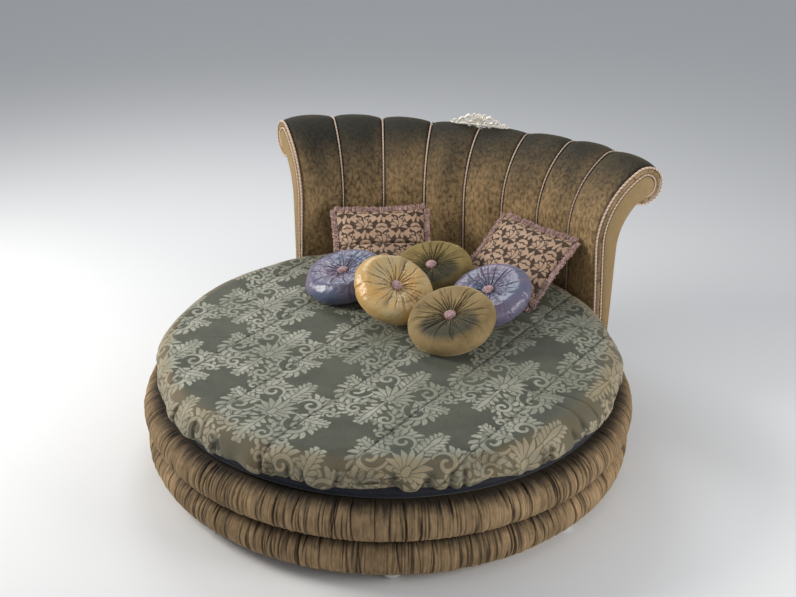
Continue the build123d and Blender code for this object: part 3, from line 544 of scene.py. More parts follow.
# %% Draw the bedspread's medallion
def bedspread_medallion():
    scrolls = [
        ((0.222, 0.118), 0.032, 0.010, 240, -400, 6, 0.044, 0.0105, 0.0080),
        ((0.190, -0.158), 0.034, 0.010, 120, 400, 6, 0.046, 0.0105, 0.0080),
        ((0.165, -0.035), 0.078, 0.018, 165, 470, 11, 0.074, 0.0135, 0.0110),
        ((0.112, 0.125), 0.064, 0.015, 200, -440, 10, 0.066, 0.0125, 0.0100),
        ((0.082, -0.165), 0.048, 0.012, 100, -430, 8, 0.054, 0.0110, 0.0090),
    ]
    right = [leaf for scroll in scrolls for leaf in leafy_scroll(*scroll)]
    right += acanthus((0.10, 0.038), (0.268, 0.050), -0.10, 6, 0.056, 0.0115)
    centre = acanthus((0, 0.10), (0, 0.268), 0, 6, 0.066, 0.0130)
    centre += acanthus((0, -0.06), (0, -0.250), 0, 6, 0.058, 0.0120)
    centre += fan((0, 0.0), (180, 152, -152, 124, -124), 0.078, 0.0125)
    centre += fan((0, -0.01), range(-88, 89, 22), 0.124, 0.0135, 0.06)
    centre += [[stroke([(0, -0.014), (0, 0.006)], [0.017, 0.014])]]
    return [both_sides(element) for element in right] + centre


medallion = distance_map(bedspread_medallion(), 0.33, 0.30, 0.002, 0.0045)
leaf_share = (medallion[0] < 0).mean()
print("medallion", medallion[0].shape, "leaf share", round(float(leaf_share), 2))

# %% [markdown]
# ## The bedspread
# A fitted cover, cut as a round, quilted in straight rows and gathered on elastic round the side of the
# mattress. It could be simulated, but a cover pulled this tight takes its form from three things that
# are easy to write down: the mattress, the stitched rows that sink in, and the gathers at the hem.

# %% Damask finish
def damask(name, ground, ground_worn, leaf, leaf_worn, side_lit_ground, side_lit_leaf, gleam, edge):
    """Woven leaves on a ground. Both have other colours where the cloth hangs over the edge: painted
    warm light on its sides.
    """
    finish, tree, shader = new_finish(name, sheen_weight=0.3, sheen_roughness=0.4,
                                      sheen_tint=dye(*gleam), specular_ior_level=0.4)
    ground, ground_worn, leaf, leaf_worn, side_lit_ground, side_lit_leaf = (
        dye(*colour) for colour in (ground, ground_worn, leaf, leaf_worn, side_lit_ground, side_lit_leaf))
    where = place_on(tree)
    woven = put(tree, "MapRange", {"interpolation_type": "SMOOTHSTEP"}, Value=noted(tree, "leaf"),
                _1=-edge, _2=edge, _3=1.0, _4=0.0)["Result"]
    painted_side_light = noted(tree, "painted_side_light")
    wear = blend(tree, mottle(tree, where, 0.09, 5.0, 0.3, 0.7),
                 mottle(tree, where, 0.006, 5.0, 0.3, 0.7), 0.6)
    lustre = times(tree, mottle(tree, where, 0.035, 3.0, 0.3, 0.7),
                   mottle(tree, where, 0.25, 2.0, 0.35, 0.6))
    # painted light: where the cloth hangs over the edge, ground and leaves take the colours of warm
    # light on its sides
    base = mix(tree, painted_side_light, mix(tree, wear, ground, ground_worn),
               mix(tree, wear, side_lit_ground, ground_worn))
    motif = mix(tree, painted_side_light, mix(tree, lustre, leaf_worn, leaf),
                mix(tree, lustre, side_lit_leaf, leaf_worn))
    wire(tree, shader, "Base Color", paint_crease_shade(tree, mix(tree, woven, base, motif), 0.35))
    wire(tree, shader, "Roughness", spread_out(tree, woven, 0.78, 0.5))
    lower = raise_up(tree, shader, woven, 0.0012, 0.5)
    raise_up(tree, shader, mottle(tree, where, 0.0022, 3.0), 0.0007, 0.6, lower)
    return finish


# the fifth and sixth colours are the painted warm light on the sides that hang over the edge
grey_damask = damask(
    "grey_green_damask", (62, 66, 57), (92, 92, 77), (182, 180, 164), (130, 131, 114),
    (116, 100, 72), (158, 142, 112), (190, 194, 184), 0.0018)
print("grey damask:", len(grey_damask.node_tree.nodes), "nodes")

# %% Bedspread form
SPREAD_TOP, SPREAD_REACH, SHOULDER = 0.5838, 1.147, 0.098
QUILT_TURN, QUILT_STEP, QUILT_SHIFT = math.radians(14), 0.358, -0.019
# the hem, turned in on its elastic: radius, height and the way out in degrees
HEM = [(1.1445, 0.466, -8.0), (1.137, 0.452, -35.0), (1.129, 0.4485, -80.0),
       (1.1265, 0.455, -150.0), (1.126, 0.485, -178.0)]


def spread_profile(share):
    """Radius, height, the way out and the length of cloth from the middle, down to the hem."""
    flat = SPREAD_REACH - SHOULDER
    path = [(0, SPREAD_TOP, 90.0), (flat, SPREAD_TOP, 90.0)]
    path += [(flat + SHOULDER * math.cos(a), SPREAD_TOP - SHOULDER + SHOULDER * math.sin(a),
              math.degrees(a)) for a in np.radians(np.linspace(87, 0, 24))]
    (r, z, way), length = along_path(np.array(path + HEM), share)
    return r, z, np.cos(np.radians(way)), np.sin(np.radians(way)), length


def quilting(u, v, seed):
    """The stitched rows: a sunk line, puckers across it and padding between."""
    row = (u - QUILT_SHIFT) / QUILT_STEP + 0.5
    off = (row - np.round(row)) * QUILT_STEP
    number = np.round(row).astype(int) % 8
    pucker = crumple(seed, (8, 1400), (0.01, 5), True, True)
    ripple = pucker[number, ((v + 1.4) / 2.8 * 1399).astype(int) % 1400]
    line = bell(off, 0.0055)
    sink = -0.0050 * line - 0.0048 * bell(off, 0.040)
    return sink + 0.0040 * ripple * np.exp(-np.abs(off) / 0.026), line


# %% Sew the bedspread
COLUMNS, ROWS = 1400, 310


def spread_crumple(seed, *grain):
    return crumple(seed, (COLUMNS, ROWS), grain, True)


turn = full_turn(COLUMNS)[:, None]
radius, height, out, rise, length = spread_profile(np.linspace(0.0004, 1, ROWS)[None])
x, y = length * np.sin(turn), length * np.cos(turn)
u = x * math.cos(QUILT_TURN) - y * math.sin(QUILT_TURN)
v = x * math.sin(QUILT_TURN) + y * math.cos(QUILT_TURN)
sink, stitched = quilting(u, v, 41)
# painted light: the share of warm side light, rising over the shoulder
painted_side_light = smooth(radius + 0.022 * spread_crumple(47, 30, 24), 1.035, 1.105)
below = smooth(-height * np.ones_like(turn), -0.578, -0.470)
fold_wide, fold_fine = spread_crumple(42, 11, 34), spread_crumple(43, 5, 26)
pucker = bell(spread_crumple(48, 5.5, 42), 0.15) * smooth(below + 0.35 * fold_wide, 0.12, 0.75)
lumps = spread_crumple(44, 26, 22) * smooth(length, 0.15, 0.5)
wrinkle = spread_crumple(49, 9, 9) * smooth(length, 0.3, 1.1)
gather = below * (0.0140 * fold_wide + 0.0060 * fold_fine) - 0.0140 * pucker
puff = sink * (1 - 0.4 * below) + 0.0042 * lumps + 0.0014 * wrinkle - 0.0012 + gather
puff = np.maximum(puff, -0.0105 - 0.004 * below)
hem_wave = crumple(45, (COLUMNS, 1), (12, 0.01), True) * 0.012 + 0.014 * pucker[:, -36:-35]
hem_wave = hem_wave * smooth(below, 0.3, 1.0)
grid = from_middle(turn, radius + out * puff, height + rise * puff + hem_wave)
spread = sew("bedspread_damask", grid, grey_damask, True)
# painted light: warm light on the sides, in uneven patches
painted_side_light_share = np.clip(painted_side_light + 0.35 * spread_crumple(46, 40, 30) * painted_side_light, 0, 1)
# painted shade: darker along the quilted lines, in the puckers and folds of the gathers, and in the
# wrinkles
painted_crease_shade = 0.9 * stitched + 0.8 * pucker + 0.35 * below * smooth(-fold_wide, 0.4, 1.3)
painted_crease_shade += 0.3 * smooth(-wrinkle, 0.5, 1.4)
note(spread, "leaf", half_drop(medallion, u - 0.006, v + 0.099, 2 * QUILT_STEP, 0.78))
note(spread, "painted_side_light", painted_side_light_share)
note(spread, "painted_crease_shade", np.clip(painted_crease_shade, 0, 1))
print("bedspread", len(spread.data.vertices), "points, cloth radius", round(float(length.max()), 3))

# %% [markdown]
# ## The mattress
# Only its dark border shows, between the hem and the upper roll. A mattress has a piped edge and a
# border that is quilted in short rows, so that is what is swept round here.

# %% Mattress
# radius and height, from the middle of the underside out and back to the middle of the top
MATTRESS_SECTION = np.array([
    (0.002, 0.3928), (0.6, 0.3928), (1.086, 0.3926), (1.098, 0.3930), (1.106, 0.3975),
    (1.110, 0.403), (1.117, 0.407), (1.1215, 0.414), (1.1165, 0.421), (1.1175, 0.428),
    (1.122, 0.445), (1.1225, 0.465), (1.120, 0.485), (1.110, 0.515), (1.09, 0.545),
    (1.06, 0.564), (1.0, 0.5715), (0.6, 0.572), (0.002, 0.572)])

navy = two_tone("navy_ticking", dye(13, 16, 26), dye(24, 27, 38), (0.02, 4.0), (0.002, 2.0),
                (0.0005, 0.6), roughness=0.85, sheen_weight=0.2, specular_ior_level=0.3)
turn = full_turn(720)[:, None]
r, z = MATTRESS_SECTION.T
border = smooth(z, 0.423, 0.44) * smooth(-z, -0.52, -0.48)
mattress = sew("mattress_ticking", from_middle(turn, r + border * 0.0015 * np.cos(48 * turn), z),
               navy, True)
settle(mattress, "mattress_set", "navy_ticking", "mattress")
settle(spread, "mattress_set", "grey_damask", "bedspread")
print("mattress", len(mattress.data.vertices), "points")

# %% [markdown]
# ## The headboard's line
# Seen in section, the front of the headboard is a straight, then a bend back, then a scroll. All the
# headboard's soft pieces follow this one line, so it is written once: for a share of the way along, it
# gives the point and the way that the padding faces. The top is 5 cm lower in the middle.

# %% Front line of the headboard
HALF_ANGLE, TIP = 46.7, math.radians(-115)
# radius of the scroll, radius that its middle lies at, height of its top at the ends, dip between
SCROLL, SCROLL_AT, HEAD_TOP, DIP = 0.104, 1.412, 1.288, 0.050
FOOT, BEND = np.array([1.176, 0.3904]), np.array([1.146, 0.8684])
RIBS = np.linspace(-HALF_ANGLE, HALF_ANGLE, 9)


def scroll_height(angle):
    """Height of the middle of the scroll at a headboard angle."""
    return HEAD_TOP - SCROLL - DIP * (1 + np.cos(np.pi * angle / HALF_ANGLE)) / 2


def front_line(angle, share, tip=TIP):
    """Radius, height, outward way (radius, height) and length, at an angle in degrees."""
    scroll_z = scroll_height(angle)
    rise = (BEND - FOOT) / np.hypot(*(BEND - FOOT))
    in_r, in_z = rise[1], -rise[0]
    off_r, off_z = BEND[0] - SCROLL_AT, BEND[1] - scroll_z
    big = (SCROLL**2 - off_r**2 - off_z**2) / (2 * (off_r * in_r + off_z * in_z + SCROLL))
    middle_r, middle_z = BEND[0] + in_r * big, BEND[1] + in_z * big
    start = math.atan2(-in_z, -in_r) % (2 * math.pi)
    join = np.arctan2(scroll_z - middle_z, SCROLL_AT - middle_r)
    first, second, third = np.hypot(*(BEND - FOOT)), big * (start - join), SCROLL * (join - tip)
    way = share * (first + second + third)
    on_bend = start - np.clip(way - first, 0, second) / big
    on_scroll = join - np.clip(way - first - second, 0, third) / SCROLL
    flat, bent = way < first, way < first + second

    def chosen(straight, bend, scroll):
        return np.where(flat, straight, np.where(bent, bend, scroll))

    facing = chosen(start, on_bend, on_scroll)
    r = chosen(FOOT[0] + rise[0] * way, middle_r + big * np.cos(on_bend),
               SCROLL_AT + SCROLL * np.cos(on_scroll))
    z = chosen(FOOT[1] + rise[1] * way, middle_z + big * np.sin(on_bend),
               scroll_z + SCROLL * np.sin(on_scroll))
    return r, z, np.cos(facing), np.sin(facing), way


def at_angle(angle, r, z):
    return from_middle(np.radians(angle), r, z)


for angle in (0, HALF_ANGLE):
    print("front line at", angle, "degrees:", round(float(front_line(angle, 1)[-1]), 3), "m")

# %% [markdown]
# ## The padded channels
# Eight channels of antique velvet stand side by side, each full in its middle and pulled down into its
# seams. The velvet is crushed in flecks, and the pull of the seams leaves short puckers beside them.
# It is darkened with painted shade where it turns back over the scroll and beside the seams.

# %% Channels
# depth and crown of the padding, width of a channel, and half the gap at a seam in degrees
PAD, CROWN, CHANNEL_WIDTH, SEAM = 0.034, 0.016, 0.235, 0.225


def sew_channel(index):
    across, along = 56, 250
    low = RIBS[index] + (SEAM if index else 0)
    high = RIBS[index + 1] - (SEAM if index < 7 else 0)
    u, share = np.linspace(0, 1, across)[:, None], np.linspace(0, 1, along)[None]
    angle = low + (high - low) * u + 0 * share
    r, z, out_r, out_z, _ = front_line(angle, share + 0 * u)
    side = np.minimum(u, 1 - u) * CHANNEL_WIDTH
    full = CROWN * (1 - np.abs(2 * u - 1) ** 2.5) - 0.007 * bell(side, 0.006)
    pucker = crumple(60 + index, (across, along), (3, 2.6)) * np.exp(-side / 0.02)
    lazy = crumple(80 + index, (across, along), (9, 22))
    swell = full + 0.0016 * pucker + 0.0014 * lazy
    front = at_angle(angle, r + out_r * swell, z + out_z * swell)
    back = at_angle(angle, r - out_r * (PAD - 0.001), z - out_z * (PAD - 0.001))
    loop = np.concatenate([front, back[[-1]], back[[0]]])
    ends = [np.broadcast_to(loop[:, k].mean(0), (len(loop), 3))[:, None] for k in (0, -1)]
    piece = sew(f"channel_velvet_{index + 1}", np.concatenate([ends[0], loop, ends[1]], 1),
                head_velvet, True)
    # painted shade: darker towards the top, where the velvet turns back over the scroll, and beside the
    # seams
    painted_top_shade = smooth(share + 0.05 * lazy - 0.012 * index, 0.24, 0.68) * 0.94
    sunk = np.clip((np.exp(-side / 0.005) + 0 * share) * 0.85, 0, 1)
    for label, values in (("painted_crease_shade", sunk), ("painted_shade", painted_top_shade)):
        note(piece, label, np.pad(values, ((0, 2), (1, 1))))
    return settle(piece, "base", "olive_velvet", f"headboard_channel_{index + 1}")


for index in range(8):
    channel = sew_channel(index)
print("channels", len(channel.data.vertices), "points each")

# %% [markdown]
# ## Twisted cords
# A thin twisted cord, two plies of cream and one of dusty rose, lies in each seam, and thicker ones edge
# the ends of the headboard. Each ply is a small tube that winds round the cord's line.

# %% Seam cords
def cord_finish():
    finish, tree, shader = new_finish("twisted_cord", roughness=0.6, sheen_weight=0.3,
                                      specular_ior_level=0.4)
    where = place_on(tree)
    cream = mix(tree, mottle(tree, where, 0.003), dye(214, 196, 172), dye(236, 222, 200))
    wire(tree, shader, "Base Color", mix(tree, noted(tree, "ply"), cream, dye(186, 140, 128)))
    raise_up(tree, shader, mottle(tree, where, 0.0012), 0.0003, 0.6)
    return finish


def round_line(angles, first_way, second_way):
    """Steps along two ways across a line, at these angles."""
    angles = angles[..., None]
    return np.cos(angles) * first_way + np.sin(angles) * second_way


def twist(line, first_way, second_way, way, radius, pitch):
    """Three plies round a line that is given with two ways across it."""
    plies, first, second = [], first_way[:, None], second_way[:, None]
    for ply in range(3):
        wind = 2 * np.pi * (way / pitch + ply / 3)
        core = line + radius * 0.52 * round_line(wind, first_way, second_way)
        plies.append(core[:, None] + radius * 0.56 * round_line(full_turn(8)[None], first, second))
    return plies


def sew_cords(name, plies, node):
    """Joins equal tubes into one piece, and marks every third ply as rose."""
    piece = sew_many(name, plies, twisted)
    points_each = plies[0].shape[0] * plies[0].shape[1]
    note(piece, "ply", np.repeat(np.arange(len(plies)) % 3 == 2, points_each))
    return settle(piece, "base", "cream_cord", node)


twisted = cord_finish()
plies = []
for angle in RIBS[1:-1]:
    angle = np.full(560, angle)
    r, z, out_r, out_z, way = front_line(angle, np.linspace(0, 1, 560))
    line = at_angle(angle, r + out_r * 0.0006, z + out_z * 0.0006)
    turn = np.radians(angle)
    sideways = np.stack([np.cos(turn), -np.sin(turn), 0 * turn], -1)
    plies += twist(line, at_angle(angle, out_r, out_z), sideways, way, 0.0042, 0.020)
seam_cords = sew_cords("seam_cords", plies, "channel_cords")
print("seam cords", len(seam_cords.data.vertices), "points")

# %% End cords
def end_axes(side):
    """Angle of an end of the headboard and the way out of its face."""
    turn = math.radians(side * HALF_ANGLE)
    return side * HALF_ANGLE, np.array([side * math.cos(turn), -side * math.sin(turn), 0.0])


plies = []
for side in SIDES:
    angle, outward = end_axes(side)
    angle = np.full(620, angle)
    for inset in (0.0045, 0.0439):
        r, z, out_r, out_z, way = front_line(angle, np.linspace(0, 1, 620))
        line = at_angle(angle, r - out_r * inset, z - out_z * inset) + outward * 0.0105
        proud = at_angle(angle, out_r, out_z)
        plies += twist(line, proud, np.broadcast_to(outward, line.shape), way, 0.0052, 0.022)
end_cords = sew_cords("end_cords_twisted", plies, "end_cords")
print("end cords", len(end_cords.data.vertices), "points")

# %% [markdown]
# ## Bands and side panels
# Each end of the headboard has a narrow band of velvet ruched across its width, between the two cords,
# and a plain panel that fills the rest and the middle of the scroll.

# %% Ruched end bands
BAND_OUTER, BAND_INNER, ON_FACE = 0.0098, 0.0390, 0.0004


def sew_end_band(side, seed):
    angle, outward = end_axes(side)
    along, across = 900, 18
    share, u = np.linspace(0, 1, along)[:, None], np.linspace(0, 1, across)[None]
    r, z, out_r, out_z, _ = front_line(np.full((along, 1), angle), share)
    gather = crumple(seed, (along, across), (1.6, 6))
    gather = gather + 0.8 * crumple(seed + 1, (along, across), (5, 9))
    lift = ON_FACE + 0.0135 * np.sin(np.pi * np.clip(u, 0.02, 0.98)) ** 0.4 + 0.0016 * gather

    def inward(inset, lift):
        return at_angle(angle, r - out_r * inset, z - out_z * inset) + outward * lift

    top = inward(BAND_OUTER + (BAND_INNER - BAND_OUTER) * u, lift[..., None])
    backs = [inward(inset, ON_FACE) for inset in (BAND_INNER, BAND_OUTER)]
    piece = sew("end_band_ruched_" + side_name(side), np.concatenate([top] + backs, 1),
                rolls_velvet, False, True)
    # painted shade: darker in the gathers
    note(piece, "painted_crease_shade", np.pad(0.7 * smooth(-gather, 0.2, 1.4), ((0, 0), (0, 2))))
    return settle(piece, "base", "olive_velvet", "end_band_" + side_name(side))


for side in SIDES:
    band = sew_end_band(side, 90 + side)
    print(band.name, len(band.data.vertices), "points")

# %% Back line and side panels
BACK_FOOT, BACK_BEND = (1.268, 0.2104), (1.272, 0.850)
# below the channels the panel's front edge steps back behind the upper roll: radius and heights
STEP_BACK, STEP_FOOT, STEP_TOP, ROLL_TOP = 1.2366, 0.2108, 0.3912, 0.3925


def back_line(angle, share, inset=0.0):
    """Back of the headboard from its foot to the tip of the scroll, with its outward way."""
    low_r, high_r, high_z = BACK_FOOT[0] - inset, BACK_BEND[0] - inset, BACK_BEND[1]
    tip_angle = TIP - 0.0057
    tip_r = SCROLL_AT + (SCROLL - inset) * math.cos(tip_angle)
    tip_z = scroll_height(angle) + (SCROLL - inset) * math.sin(tip_angle)
    out, up = tip_r - high_r, tip_z - high_z
    radius = (out**2 + up**2) / (2 * out)
    end = np.arctan2(tip_z - high_z, tip_r - high_r - radius) % (2 * np.pi)
    first, second = high_z - BACK_FOOT[1], radius * (np.pi - end)
    way = share * (first + second)
    turn = np.pi - np.clip(way - first, 0, None) / radius
    straight = way < first
    r = np.where(straight, low_r + (high_r - low_r) * way / first,
                 high_r + radius + radius * np.cos(turn))
    z = np.where(straight, BACK_FOOT[1] + way, high_z + radius * np.sin(turn))
    return r, z, np.where(straight, 1.0, -np.cos(turn)), np.where(straight, 0.0, -np.sin(turn))


def sew_side_panel(side):
    """A plain panel between the inner end cord and the headboard's back."""
    angle, outward = end_axes(side)
    along, across, behind_cord = 260, 26, 0.0492
    share = np.concatenate([[0, 0.0001], np.linspace(0.002, 1, along - 2)])
    r, z, out_r, out_z, _ = front_line(np.full(along, angle), share, math.radians(-114))
    front_r, front_z = r - out_r * behind_cord, z - out_z * behind_cord
    front_r[:2], front_z[:2] = STEP_BACK, (STEP_FOOT, STEP_TOP)
    front_z[2:] = np.maximum(front_z[2:], ROLL_TOP)
    back_share = np.interp(share, [0, 0.0001, 0.002, 0.66, 0.76, 1], [0, 0.145, 0.146, 0.94, 1, 1])
    back_r, back_z, _, _ = back_line(angle, back_share)
    u = np.linspace(0, 1, across)[None]
    edge = np.minimum(u, 1 - u) * np.hypot(back_r - front_r, back_z - front_z)[:, None]
    lift = ON_FACE + 0.0140 * np.sqrt(1 - (1 - np.clip(edge / 0.007, 0, 1)) ** 2)
    lift += 0.0035 * smooth(edge, 0, 0.05)
    lift += 0.0008 * crumple(95 + side, (along, across), (14, 6))
    r, z = (front[:, None] * (1 - u) + back[:, None] * u
            for front, back in ((front_r, back_r), (front_z, back_z)))
    piece = sew("side_panel_velvet_" + side_name(side),
                at_angle(angle, r, z) + outward * lift[..., None], panel_velvet)
    # painted shade: darker along the panel's edges
    note(piece, "painted_crease_shade", 0.5 * np.exp(-edge / 0.004))
    return settle(piece, "base", "tan_velvet", "side_panel_" + side_name(side))


for side in SIDES:
    panel = sew_side_panel(side)
    print(panel.name, len(panel.data.vertices), "points")

# %% [markdown]
# ## The back of the headboard
# The photograph never shows the back. A bed like this stands free in a room, so the back is upholstered
# plainly: one velvet skin over thin wadding, with upright seams where the pieces of cloth meet.

# %% Back panel
METRES_PER_DEGREE, WADDING = 0.0222, 0.021
across, along = 300, 120
angle = np.linspace(-HALF_ANGLE, HALF_ANGLE, across)[:, None]
share = np.linspace(0, 1, along)[None]
r, z, out_r, out_z = back_line(angle, share)
seam = np.min(np.abs(angle[..., None] - RIBS[1:-1:2]), -1) * METRES_PER_DEGREE
to_end = (HALF_ANGLE - np.abs(angle)) * METRES_PER_DEGREE
edge = np.minimum(np.minimum(share, 1 - share) * 0.95, to_end)
plump = -0.004 * bell(seam, 0.006) - 0.008 * (1 - smooth(edge, 0, 0.012))
plump = plump + 0.0012 * crumple(99, (across, along), (16, 18))
skin = at_angle(angle, r + out_r * plump, z + out_z * plump)
inner_r, inner_z, _, _ = back_line(angle, share, WADDING)
whole = np.pad(at_angle(angle, inner_r, inner_z), ((1, 1), (1, 1), (0, 0)), "edge")
whole[1:-1, 1:-1] = skin
back = sew("back_velvet", whole, panel_velvet)
# painted shade: darker along the seams
note(back, "painted_crease_shade", np.pad(0.7 * bell(seam, 0.004) + 0 * share, 1))
settle(back, "base", "tan_velvet", "headboard_back_panel")
print("back panel", len(back.data.vertices), "points")

# %% [markdown]
# ## The carved crest
# A pierced crest in silvered wood sits on the middle of the scroll: a ribbed shell between two ringed
# openings, with leaves that run out to points. A carver works in from a board with gouges. Here each
# leaf is a tapered rod, and a voxel remesh melts the rods together, as gesso and silver leaf do.

# %% Crest rods
CREST_FOOT, CREST_FRONT = 1.2572, 1.398


def taper_rod(points, widths, depth=1.0, lift=0.0):
    """A closed rod along points in the crest's plane, in metres from the middle of its foot."""
    points = np.asarray(points, float)
    radius = np.pad(1.3 * stroke(points, widths)[:, 2], 1, constant_values=1e-4)[:, None]
    points = np.pad(points, ((1, 1), (0, 0)), "edge")
    way = np.gradient(points, axis=0)
    way /= np.maximum(np.hypot(way[:, 0], way[:, 1]), 1e-9)[:, None]
    ring = full_turn(14)
    x = points[:, :1] - way[:, 1:] * radius * np.cos(ring)
    z = points[:, 1:] + way[:, :1] * radius * np.cos(ring)
    return np.stack([x, -radius * np.sin(ring) * depth - lift, z], -1)


def crest_rods():
    """The crest's rods: each a line, its widths, and how deep and how far forward it lies."""
    ring = np.radians(np.linspace(-160, 205, 40))
    opening = np.stack([0.061 + 0.0225 * np.cos(ring), 0.0385 + 0.0175 * np.sin(ring)], -1)
    right = [
        (opening, (0.0055, 0.007, 0.0055), 1.1, 0.003),
        (bow((0.0, 0.008), (0.100, 0.0075), 0.03, 20), (0.008, 0.0075, 0.007)),
        (bow((0.085, 0.012), (0.172, 0.006), -0.04, 20), (0.0075, 0.006, 0.003)),
        (bow((0.082, 0.040), (0.128, 0.010), 0.22, 20), (0.003, 0.0065, 0.005), 1.1, 0.002),
        (bow((0.098, 0.022), (0.122, 0.030), 0.3, 12), (0.005, 0.0045, 0.0015), 1.1, 0.002),
        (curl((0.150, 0.015), 0.014, 0.004, 200, -330, 24), (0.003, 0.0045, 0.004), 1.1, 0.002),
        (bow((0.156, 0.008), (0.178, 0.016), -0.25, 12), (0.005, 0.0045, 0.001)),
        (bow((0.030, 0.020), (0.044, 0.062), -0.18, 14), (0.005, 0.0055, 0.002), 1.1, 0.004),
        (curl((0.029, 0.064), 0.011, 0.003, -60, 330, 20), (0.003, 0.0042, 0.0035), 1.1, 0.004),
        (bow((0.050, 0.057), (0.078, 0.056), 0.25, 14), (0.002, 0.0045, 0.002), 1.0, 0.003),
    ]
    rods = [taper_rod(*rod) * [side, 1, 1] for rod in right for side in SIDES]
    for turn in (-52, -35, -18, 0, 18, 35, 52):
        a = math.radians(turn)
        tip = (math.sin(a) * 0.046, 0.012 + math.cos(a) * 0.060)
        rib = bow((0.10 * tip[0], 0.012), tip, 0, 12)
        forward = 0.004 + 0.003 * math.cos(2 * a)
        rods.append(taper_rod(rib, (0.0028, 0.0042, 0.0068, 0.0055), 1.15, forward))
    middle = [
        ([(0, 0.070), (0, 0.0735)], (0.006, 0.005), 1.2, 0.006),
        ([(0, 0.012), (0, 0.020)], (0.010, 0.008), 1.2, 0.007),
        ([(0, 0.014), (0, -0.004), (0, -0.0125)], (0.018, 0.016, 0.007), 0.6),
    ]
    for side in SIDES:
        middle.append(([(side * 0.060, 0.008), (side * 0.060, -0.0045)], (0.011, 0.008), 0.7))
        foot = bow((0.0, 0.004), (side * 0.055, 0.004), side * 0.06, 12)
        middle.append((foot, (0.009, 0.006, 0.003), 0.8))
    return rods + [taper_rod(*rod) for rod in middle]


# %% Melt the crest together
def silver_leaf(name, bright, shade, roughness):
    """Burnished leaf over carving, with dark wax left in the hollows."""
    finish, tree, shader = new_finish(name, metallic=0.35, roughness=roughness,
                                      specular_ior_level=0.6)
    where = place_on(tree)
    hollow = put(tree, "NewGeometry")["Pointiness"]
    hollow = put(tree, "MapRange", Value=hollow, _1=0.42, _2=0.53)["Result"]
    wear_and_painted_shade = times(tree, mottle(tree, where, 0.01, 5.0, 0.2, 0.6), 0.6, "ADD")
    wire(tree, shader, "Base Color", mix(tree, times(tree, hollow, wear_and_painted_shade), shade, bright))
    raise_up(tree, shader, mottle(tree, where, 0.004, 4.0), 0.0005, 0.5)
    return finish


rods = [rod + [0, CREST_FRONT, CREST_FOOT] for rod in crest_rods()]
crest_silver = silver_leaf("crest_silver_leaf", dye(240, 234, 222), dye(96, 88, 76), 0.38)
crest = sew_many("crest_carving", rods, crest_silver)
melt = crest.modifiers.new("melt", "REMESH")
melt.mode, melt.voxel_size, melt.use_smooth_shade = "VOXEL", 0.0012, True
soften = crest.modifiers.new("soften", "SMOOTH")
soften.factor, soften.iterations = 0.5, 3
settle(crest, "base", "carved_silver", "crest")
print("crest rods", len(rods))

# %% [markdown]
# ## Stuffing with cloth simulation
# Cushions are sewn flat and stuffed, and the stuffing gives them their form. Blender's cloth does the
# same: gravity off, air pressure inside, and the stitched points pinned. The cloth is given a little
# spare length, so it buckles between the stitches as satin does. The stuffed form is then kept as a
# plain mesh, no further from the pattern than a set distance. What makes it thicker is held back the
# most, so that the cushions stay clear of each other when they are lifted.

# %% Stuffing
# LOOSE_PIN holds a point lightly, and THICKER is the share kept of what makes a piece thicker
CLOTH = {"quality": 3, "mass": 0.2, "tension_stiffness": 18, "compression_stiffness": 18,
         "shear_stiffness": 6, "bending_stiffness": 0.25, "use_pressure": True,
         "vertex_group_mass": "stitched", "pin_stiffness": 1.0}
LOOSE_PIN, STEPS, THICKER = 0.35, 15, 0.4


def read_points(mesh):
    points = np.zeros(len(mesh.vertices) * 3, np.float32)
    mesh.vertices.foreach_get("co", points)
    return points.reshape(-1, 3)


def write_points(piece, points):
    piece.data.vertices.foreach_set("co", points.astype(np.float32).ravel())


def stuff(piece, pinned, pressure, spare, cap):
    """Runs the cloth simulation on a piece in its own flat frame and keeps the result."""
    rest = read_points(piece.data)
    group = piece.vertex_groups.new(name="stitched")
    for weight in (LOOSE_PIN, 1.0):
        chosen = np.nonzero(pinned >= weight)[0].tolist()
        if chosen:
            group.add(chosen, weight, "REPLACE")
    cloth = piece.modifiers.new("stuffing", "CLOTH")
    for label, value in CLOTH.items():
        setattr(cloth.settings, label, value)
    cloth.settings.uniform_pressure_force = pressure
    cloth.settings.shrink_min = -spare
    cloth.settings.effector_weights.gravity = 0
    cloth.collision_settings.use_collision = False
    for step in range(1, STEPS + 1):
        bpy.context.scene.frame_set(step)
    moved = read_points(piece.evaluated_get(bpy.context.evaluated_depsgraph_get()).data)
    piece.modifiers.remove(cloth)
    bpy.context.scene.frame_set(1)
    shift = moved - rest
    far = np.linalg.norm(shift, axis=1, keepdims=True)
    shift *= np.minimum(1, cap / np.maximum(far, 1e-9))
    shift[shift[:, 2] * rest[:, 2] > 0, 2] *= THICKER
    write_points(piece, rest + shift)
    piece.data.update()
    print(piece.name, "stuffed, moved up to", round(float(far.max()) * 1000, 1), "mm")


def render_finer(piece):
    finer = piece.modifiers.new("finer", "SUBSURF")
    finer.levels, finer.render_levels = 0, 1


# %% [markdown]
# ## The round cushions
# A round cushion like these is a tube of cloth gathered tight at both ends under a covered button. The
# gathers run out from the button as pleats and die away before the rim. Each pleat starts as a sunk
# line of stitched points, and the stuffing fills the cloth between them.

# %% Cushion pattern
CUSHION, HALF = 0.214, 0.060
# radius and height of a face, from the button to where the round rim begins
FACE = [(0.012, 0.034), (0.024, 0.0345), (0.040, 0.040), (0.062, 0.0485), (0.088, 0.0555),
        (0.116, 0.0592), (0.140, 0.0600)]


